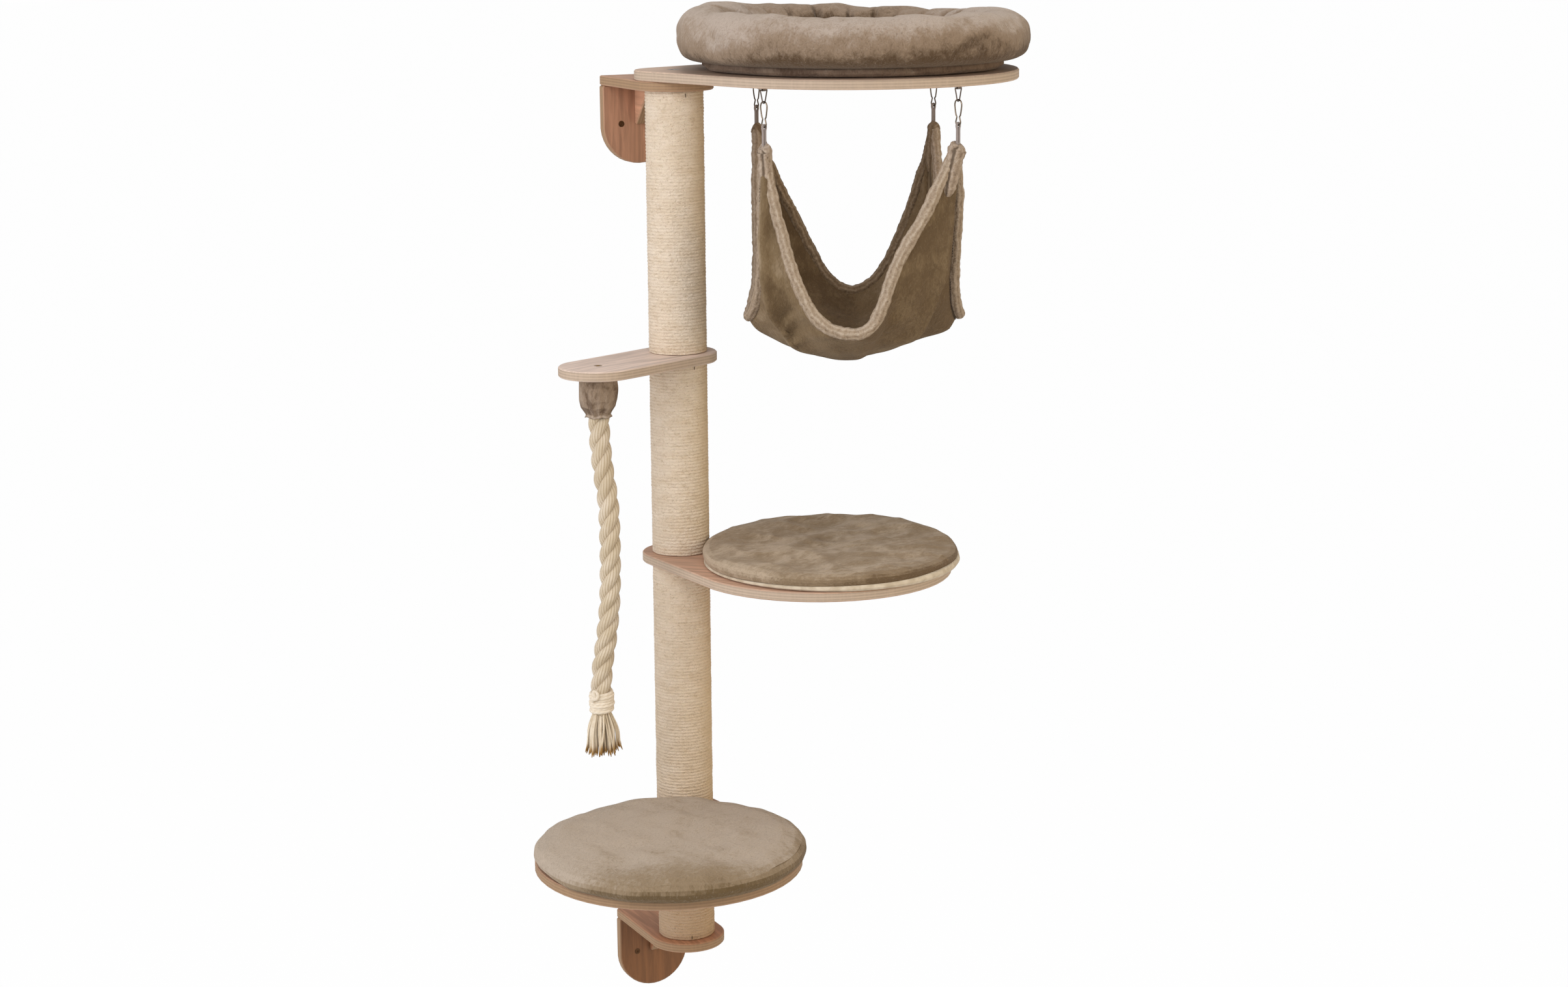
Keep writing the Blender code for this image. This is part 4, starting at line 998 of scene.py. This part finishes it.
def stitches(name, start, end):
    """Short dark threads on the outside of the sling, along its side seam."""
    turns = np.linspace(start, end, STITCH_COUNT * 2) / 360
    points = sling_place(turns, np.full(len(turns), SEAM_SHARE))
    down = sling_place(turns, np.full(len(turns), SEAM_SHARE - 0.02)) - points
    bm = bmesh.new()
    for index in range(0, len(turns) - 1, 2):
        first = Vector(points[index])
        run = Vector(points[index + 1]) - first
        if run.length < STITCH_SHORTEST:
            continue
        middle = first + run / 2
        outward = run.cross(Vector(down[index])).normalized()
        away = middle - Vector((HAMMOCK.x, HAMMOCK.y, middle.z))
        outward = outward if outward.dot(away) > 0 else -outward
        facing = run.normalized().to_track_quat("X", "Z").to_matrix().to_4x4()
        size = Matrix.Diagonal((min(STITCH_LENGTH, run.length) / 2, 0.001, 0.0006, 1))
        place = Matrix.Translation(middle + outward * STITCH_RISE) @ facing @ size
        bmesh.ops.create_icosphere(bm, subdivisions=1, radius=1.0, matrix=place)
    return mesh_of(name, bm)


seam_meshes = [stitches(f"seam_{index}", *turns) for index, turns in enumerate(SEAM_TURNS)]
seam = link("hammock_seam_threads", joined("hammock_seam_threads", seam_meshes))
thread = Surface("dark_thread", roughness=0.8)
thread.put("Base Color", srgb(58, 44, 32))
ready(seam, thread, "hammock", "plush", "hammock_sling")


# Sisal winding

TWINE_PITCH = 0.005
TWINE_REACH = 0.0433
TWINE_CROWN = 0.0014
WINDING_BORE = 0.0405
# Each length of the post: its foot and its top
SEGMENTS = {1: (0.075, 0.27), 2: (0.285, 0.69), 3: (0.705, 1.005), 4: (1.02, 1.42)}

sisal = Surface("sisal_twine", roughness=0.93, sheen_weight=0.15, specular_ior_level=0.15)
sisal_x, _, sisal_z = sisal.axes(sisal.place())
fibres = sisal.speckle((140, 140, 900), 4.0, 0.7)
speck = sisal.speckle((500, 500, 700), 2.0, 0.5)
tone = sisal.speckle((30, 30, 60))
lump = sisal.speckle((150, 150, 210), 2.0, 0.5, 0.8)
colour = sisal.blend(tone.between(0.3, 0.7), srgb(227, 208, 185), srgb(238, 222, 203))
for share, over in (
    (fibres.between(0.35, 0.75) * 0.6, srgb(240, 227, 203)),
    ((0.4 - speck).at_least(0.0) * 5.0, srgb(166, 138, 100)),
    ((0.44 - lump).at_least(0.0) * 2.2, srgb(186, 161, 124)),
    # Painted shade: darker and yellower towards the foot of the post
    ((1.05 - sisal_z).between(0.0, 1.0) * 0.22, srgb(200, 170, 126)),
    # Painted shade: yellower on the right side of the post
    (sisal_x.between(-0.005, 0.045) * 0.5, srgb(214, 182, 128)),
    # Painted shadow near the lower shelf, strongest under it
    ((0.34 - sisal_z).between(0.0, 0.09) * 0.55, srgb(180, 142, 100)),
):
    colour = sisal.blend(share, colour, over)
sisal.coat(colour, fibres * 0.6 + speck * 1.2 + lump * 1.8, 0.0016, 0.95)

for number, (low, high) in SEGMENTS.items():
    low += 2 * GAP
    high -= GAP
    turns = round((high - low) / TWINE_PITCH)

    def winding(u, v, low=low, high=high, turns=turns, number=number):
        raw = low + (v * (turns + 1) - u) * (high - low) / turns
        height = np.clip(raw, low, high)
        crown = np.sqrt(np.clip(1 - (2 * ((v * (turns + 1)) % 1.0) - 1) ** 2, 0, 1))
        around = -math.tau * u
        spot = round_centre(ORIGIN, around, 0.045, height)
        out = TWINE_REACH + TWINE_CROWN * crown + swells(spot, (0.03, number, 0.00018), (0.009, number + 40, 0.00014))
        out = np.where((raw < low) | (raw > high), WINDING_BORE, out)
        return round_centre(ahead(0, 0), around, out, height)

    sleeve = link(f"sisal_twine_{number}", grid_mesh(f"sisal_{number}", winding, 72, 6 * (turns + 1)))
    ready(sleeve, sisal, "wall_frame", "sisal", f"sisal_winding_{number}")


# Plywood and core wood

LAYER_COUNT = 7


def plywood(name, face, edge, layer_axis, layer_start, grain_turn):
    """Veneered board: grained faces, and an edge that shows the layers of the wood."""
    wood = Surface(name, roughness=0.55, specular_ior_level=0.3, coat_weight=0.04, coat_roughness=0.4)
    spot = wood.place()
    facing = wood.axes(wood.node("ShaderNodeNewGeometry", out="Normal"))[layer_axis]
    depth = wood.axes(spot)[layer_axis]
    on_edge = 1 - abs(facing).between(0.45, 0.9)
    along = wood.place(turned=tuple(-angle for angle in grain_turn))
    grain = wood.noise(wood.scaled(along, (1, 14, 14)), 9.0, 5.0, 0.6, 0.8)
    pores = wood.noise(wood.scaled(along, (30, 420, 420)), 1.0, 3.0, 0.6)
    broad = wood.noise(spot, 5.0, 2.0)
    knot = wood.speckle((26, 26, 60), 1.0, 0.4)
    light = shaded(face, 1.18)
    skin = wood.blend(grain.between(0.3, 0.7), shaded(face, 0.74), light)
    skin = wood.blend((0.42 - pores).at_least(0.0) * 2.2, skin, shaded(face, 0.62))
    skin = wood.blend(broad.between(0.3, 0.75) * 0.25, skin, light)
    layer = (depth - layer_start) / (BOARD / LAYER_COUNT)
    wander = wood.speckle((8, 8, 8), 2.0)
    stripe = ((layer + wander * 0.25) * 0.5).fract()
    stripe = abs(stripe * 2 - 1).between(0.35, 0.65)
    end_grain = wood.speckle((260, 260, 40), 3.0, 0.6)
    ply = wood.blend(stripe * 0.75, edge, shaded(edge, 0.74))
    ply = wood.blend((end_grain - 0.42).at_least(0.0) * 0.9, ply, shaded(edge, 1.22))
    board = wood.blend(on_edge, skin, ply)
    board = wood.blend(knot.between(0.74, 0.79) * 0.6, board, shaded(edge, 0.5))
    wood.put("Roughness", on_edge * 0.2 + 0.5)
    wood.coat(board, grain * 0.3 + pores * 0.5 + stripe * on_edge * 0.6, 0.0004, 0.6)
    return wood


# Painted light and shade: the boards are one plywood, but each board's face and edge colours are made lighter or
# darker as light falls on it, darkest on the lower shelf and the bracket arms
SHADED_BROWN = srgb(184, 146, 122)
EDGE_BEIGE = srgb(191, 171, 151)
EDGE_TAN = srgb(164, 134, 104)
# Each board: the colours of its face and edge, the height of its underside and the direction of its grain
BOARDS = {
    "top_shelf": (srgb(204, 178, 158), EDGE_BEIGE, TOP_SHELF_TOP - BOARD, TOP_TURN),
    "rope_arm": (srgb(222, 202, 189), EDGE_BEIGE, ROPE_ARM_UNDER, ARM_TURN),
    "middle_shelf": (srgb(198, 160, 136), EDGE_BEIGE, MIDDLE_SHELF_TOP - BOARD, MIDDLE_TURN),
    "lower_shelf": (SHADED_BROWN, EDGE_TAN, LOWER_SHELF_TOP - BOARD, LOWER_TURN),
    "upper_bracket_arm": (SHADED_BROWN, EDGE_TAN, TOP_SHELF_TOP - 2 * BOARD, math.pi / 2),
    "lower_bracket_arm": (srgb(186, 138, 108), EDGE_TAN, LOWER_ARM_UNDER, math.pi / 2),
}
for node, (face, edge, under, direction) in BOARDS.items():
    plywood("plywood_" + node, face, edge, 2, under, (0, 0, direction)).dress(solids[node])
# Painted light and shade: the lower plate and gusset are painted darker, the upper ones lighter
for level, plate_face, web_face in (
    ("lower", srgb(126, 86, 54), srgb(150, 106, 78)),
    ("upper", srgb(178, 134, 108), srgb(202, 155, 126)),
):
    wall = plywood(f"plywood_{level}_plate", plate_face, EDGE_TAN, 1, -BOARD, (0, math.pi / 2, 0))
    wall.dress(solids[f"{level}_wall_plate"])
    web = plywood(f"plywood_{level}_gusset", web_face, EDGE_TAN, 0, -BOARD / 2, (0, 0, math.pi / 2))
    web.dress(solids[f"{level}_gusset"])

raw_wood = Surface("core_wood", roughness=0.8)
ring_noise = raw_wood.speckle((40, 40, 4), 4.0)
raw_wood.coat(raw_wood.blend(ring_noise, srgb(150, 118, 82), srgb(186, 154, 112)), ring_noise, 0.0005, 0.5)
raw_wood.dress(*[solids[f"post_core_{number}"] for number in SEGMENTS])


# Metal


def metal(name, colour, roughness):
    """Plated metal with fine, uneven polish."""
    plated = Surface(name, metallic=1.0, roughness=roughness)
    fine = plated.speckle((700, 700, 700), 3.0, 0.6)
    smear = plated.speckle((90, 90, 90), 2.0)
    plated.put("Roughness", (fine - 0.5) * 0.12 + roughness)
    plated.coat(plated.blend(smear.between(0.3, 0.7), colour, shaded(colour, 0.82)), fine, 0.00012, 0.4)
    return plated


nickel = metal("bright_nickel", srgb(114, 102, 88), 0.24)
brown_steel = metal("browned_steel", srgb(110, 98, 90), 0.35)
zinc = metal("yellow_zinc", srgb(192, 160, 104), 0.33)
bronzed = metal("bronzed_screw", srgb(92, 66, 46), 0.5)
bolt_steel = metal("bolt_steel", srgb(196, 194, 190), 0.3)
staple_steel = metal("dark_staple", srgb(96, 80, 62), 0.4)
# Each hanger's seat under the top shelf, as x and y
SEATS = {
    "front_left": (0.035404, -0.380698),
    "front_right": (0.29242, -0.496745),
    "back_left": (0.185657, -0.05135),
    "back_right": (0.440103, -0.166237),
}
for corner in SEATS:
    nickel.dress(solids["snap_hook_" + corner])
    brown_steel.dress(solids["ring_" + corner], solids["hanger_plate_" + corner])
bronzed.dress(*[solids[f"wall_screw_{level}_{side}"] for level in ("lower", "upper") for side in ("left", "right")])
zinc.dress(solids["rope_screw"])
for node in ("stud_lower_shelf", "stud_middle_shelf", "stud_rope_arm", "post_bolt_top", "post_bolt_bottom"):
    bolt_steel.dress(solids[node])
cotton.dress(solids["rope_clamped_end"])


# Woven cord loops, and the screws of the hanger plates

grey = Surface("grey_cord", roughness=0.85, sheen_weight=0.2, specular_ior_level=0.25)
cord_round, cord_length, _ = grey.axes(grey.place(kind="UV"))
braid_up = abs((cord_round * 4 + cord_length * 34).fract() * 2 - 1)
braid_down = abs((cord_round * 4 - cord_length * 34).fract() * 2 - 1)
braid = braid_up.at_least(braid_down)
# Painted shade in the grooves of the braid, paler on its raised strands
grey.coat(grey.blend(braid.between(0.3, 1.0), srgb(122, 112, 108), srgb(180, 170, 167)), braid, 0.0005, 0.7)
CORD_HEADING = math.radians(17)
CORD_RADIUS = 0.0018
LOOP_EYE = 1.3783
# From the loop's eye: how far to the side, and how far up
CORD_HALF = [
    (0.0004, -0.0272), (0.002, -0.0258), (0.0021, -0.019), (0.0021, -0.011), (0.0022, -0.005), (0.0032, -0.0012),
    (0.0026, 0.002),
]
CORD_LOOP = CORD_HALF + [(0.0, 0.0033)] + [(-side, height) for side, height in reversed(CORD_HALF)]
PLATE_UNDER = 1.4335
PLATE_SCREW_OFFSET = 0.006
PLATE_SCREW_RADIUS = 0.0017


def by_seat(seat, side, height):
    """A point over or under a hanger's seat, to one side of it."""
    return Vector((*seat, height)) + heading(CORD_HEADING) * side


cord_across = np.array([-math.sin(CORD_HEADING), math.cos(CORD_HEADING), 0.0])
screw_bm = bmesh.new()
for corner, seat in SEATS.items():
    cord_line = catmull([by_seat(seat, side, LOOP_EYE + height) for side, height in CORD_LOOP], 6)
    cord_name = "woven_cord_" + corner
    cord = link(cord_name, tube_mesh(cord_name, cord_line, CORD_RADIUS, cord_across, 14, 150))
    ready(cord, grey, f"loop_{corner}_body", "grey_cord", "cord_loop_" + corner)
    for side in (-PLATE_SCREW_OFFSET, PLATE_SCREW_OFFSET):
        place = Matrix.Translation(by_seat(seat, side, PLATE_UNDER)) @ Matrix.Diagonal((1, 1, 0.55, 1))
        bmesh.ops.create_uvsphere(screw_bm, u_segments=20, v_segments=10, radius=PLATE_SCREW_RADIUS, matrix=place)
plate_screws = link("hanger_plate_screws", mesh_of("hanger_plate_screws", screw_bm))
ready(plate_screws, bolt_steel, "wall_frame", "steel")


# Staples that hold the ends of the sisal, as degrees round the post and a height

STAPLES = ((-92, 1.4135), (-104, 0.08), (-81, 1.0), (-99, 0.262), (-88, 0.68))
STAPLE_REACH = 0.0447
STAPLE_HALF_SIZES = (0.0008, 0.0006, 0.0034, 1)
staple_bm = bmesh.new()
for degrees, height in STAPLES:
    turn = math.radians(degrees)
    place = Matrix.Translation(ahead(turn, STAPLE_REACH, height)) @ Matrix.Rotation(turn, 4, "Z")
    place = place @ Matrix.Diagonal(STAPLE_HALF_SIZES)
    bmesh.ops.create_icosphere(staple_bm, subdivisions=2, radius=1.0, matrix=place)
ready(link("sisal_staples", mesh_of("sisal_staples", staple_bm)), staple_steel, "wall_frame", "steel")


# Floor and backdrop: white where the camera sees them

FLOOR = -0.75
FLOOR_RADIUS = 60
WORLD_STRENGTH = 0.36
WHITE = (1, 1, 1, 1)

stage_bm = bmesh.new()
bmesh.ops.create_circle(stage_bm, cap_ends=True, radius=FLOOR_RADIUS, segments=96)
bmesh.ops.translate(stage_bm, vec=(0, 0, FLOOR), verts=stage_bm.verts)
floor = link("floor", mesh_of("floor", stage_bm), smooth=False)
ground = Surface("pale_floor", roughness=0.9)
ground.put("Base Color", (0.86, 0.86, 0.86, 1))
seen = ground.rays("Is Camera Ray", "Is Glossy Ray", "Is Transmission Ray") * 0.985
glow = ground.node("ShaderNodeEmission", {}, {"Color": WHITE, "Strength": 1.0})
ground.show("Material Output", seen, Value(ground, ground.shader.outputs[0]), glow)
ground.dress(floor)

world = bpy.data.worlds.new("studio")
bpy.context.scene.world = world
world.use_nodes = True
studio = Shading(world.node_tree)
backdrop = studio.nodes["Background"]
studio.fill(backdrop.inputs["Color"], WHITE)
studio.fill(backdrop.inputs["Strength"], WORLD_STRENGTH)
white = studio.node("ShaderNodeBackground", {}, {"Color": WHITE, "Strength": 1.0})
seen = studio.rays("Is Camera Ray", "Is Transmission Ray")
studio.show("World Output", seen, Value(studio, backdrop.outputs[0]), white)

# Square area lamps: place, aim, size, power and colour
LAMPS = {
    "key": ((-3.1, -2.0, 2.7), (0.1, -0.2, 1.0), 2.4, 58, (1.0, 0.965, 0.955)),
    "side": ((-3.3, 0.2, 1.0), (0.0, -0.2, 0.7), 2.2, 38, (1.0, 0.96, 0.95)),
    "front": ((-1.7, -4.1, 2.4), (0.1, -0.2, 0.9), 2.0, 30, (1.0, 0.965, 0.94)),
    "fill": ((1.9, -2.6, 1.2), (0.1, -0.2, 0.8), 2.2, 32, (1.0, 0.8, 0.52)),
    "top": ((0.1, -0.7, 3.9), (0.1, -0.3, 0.8), 1.8, 32, (1.0, 0.98, 0.97)),
}
for name, (place, aim, size, power, colour) in LAMPS.items():
    lamp = bpy.data.lights.new(name, "AREA")
    lamp.shape = "SQUARE"
    lamp.size = size
    lamp.energy = power
    lamp.color = colour
    holder = bpy.data.objects.new(name, lamp)
    holder.location = place
    holder.rotation_euler = (Vector(aim) - Vector(place)).to_track_quat("-Z", "Y").to_euler()
    bpy.context.scene.collection.objects.link(holder)
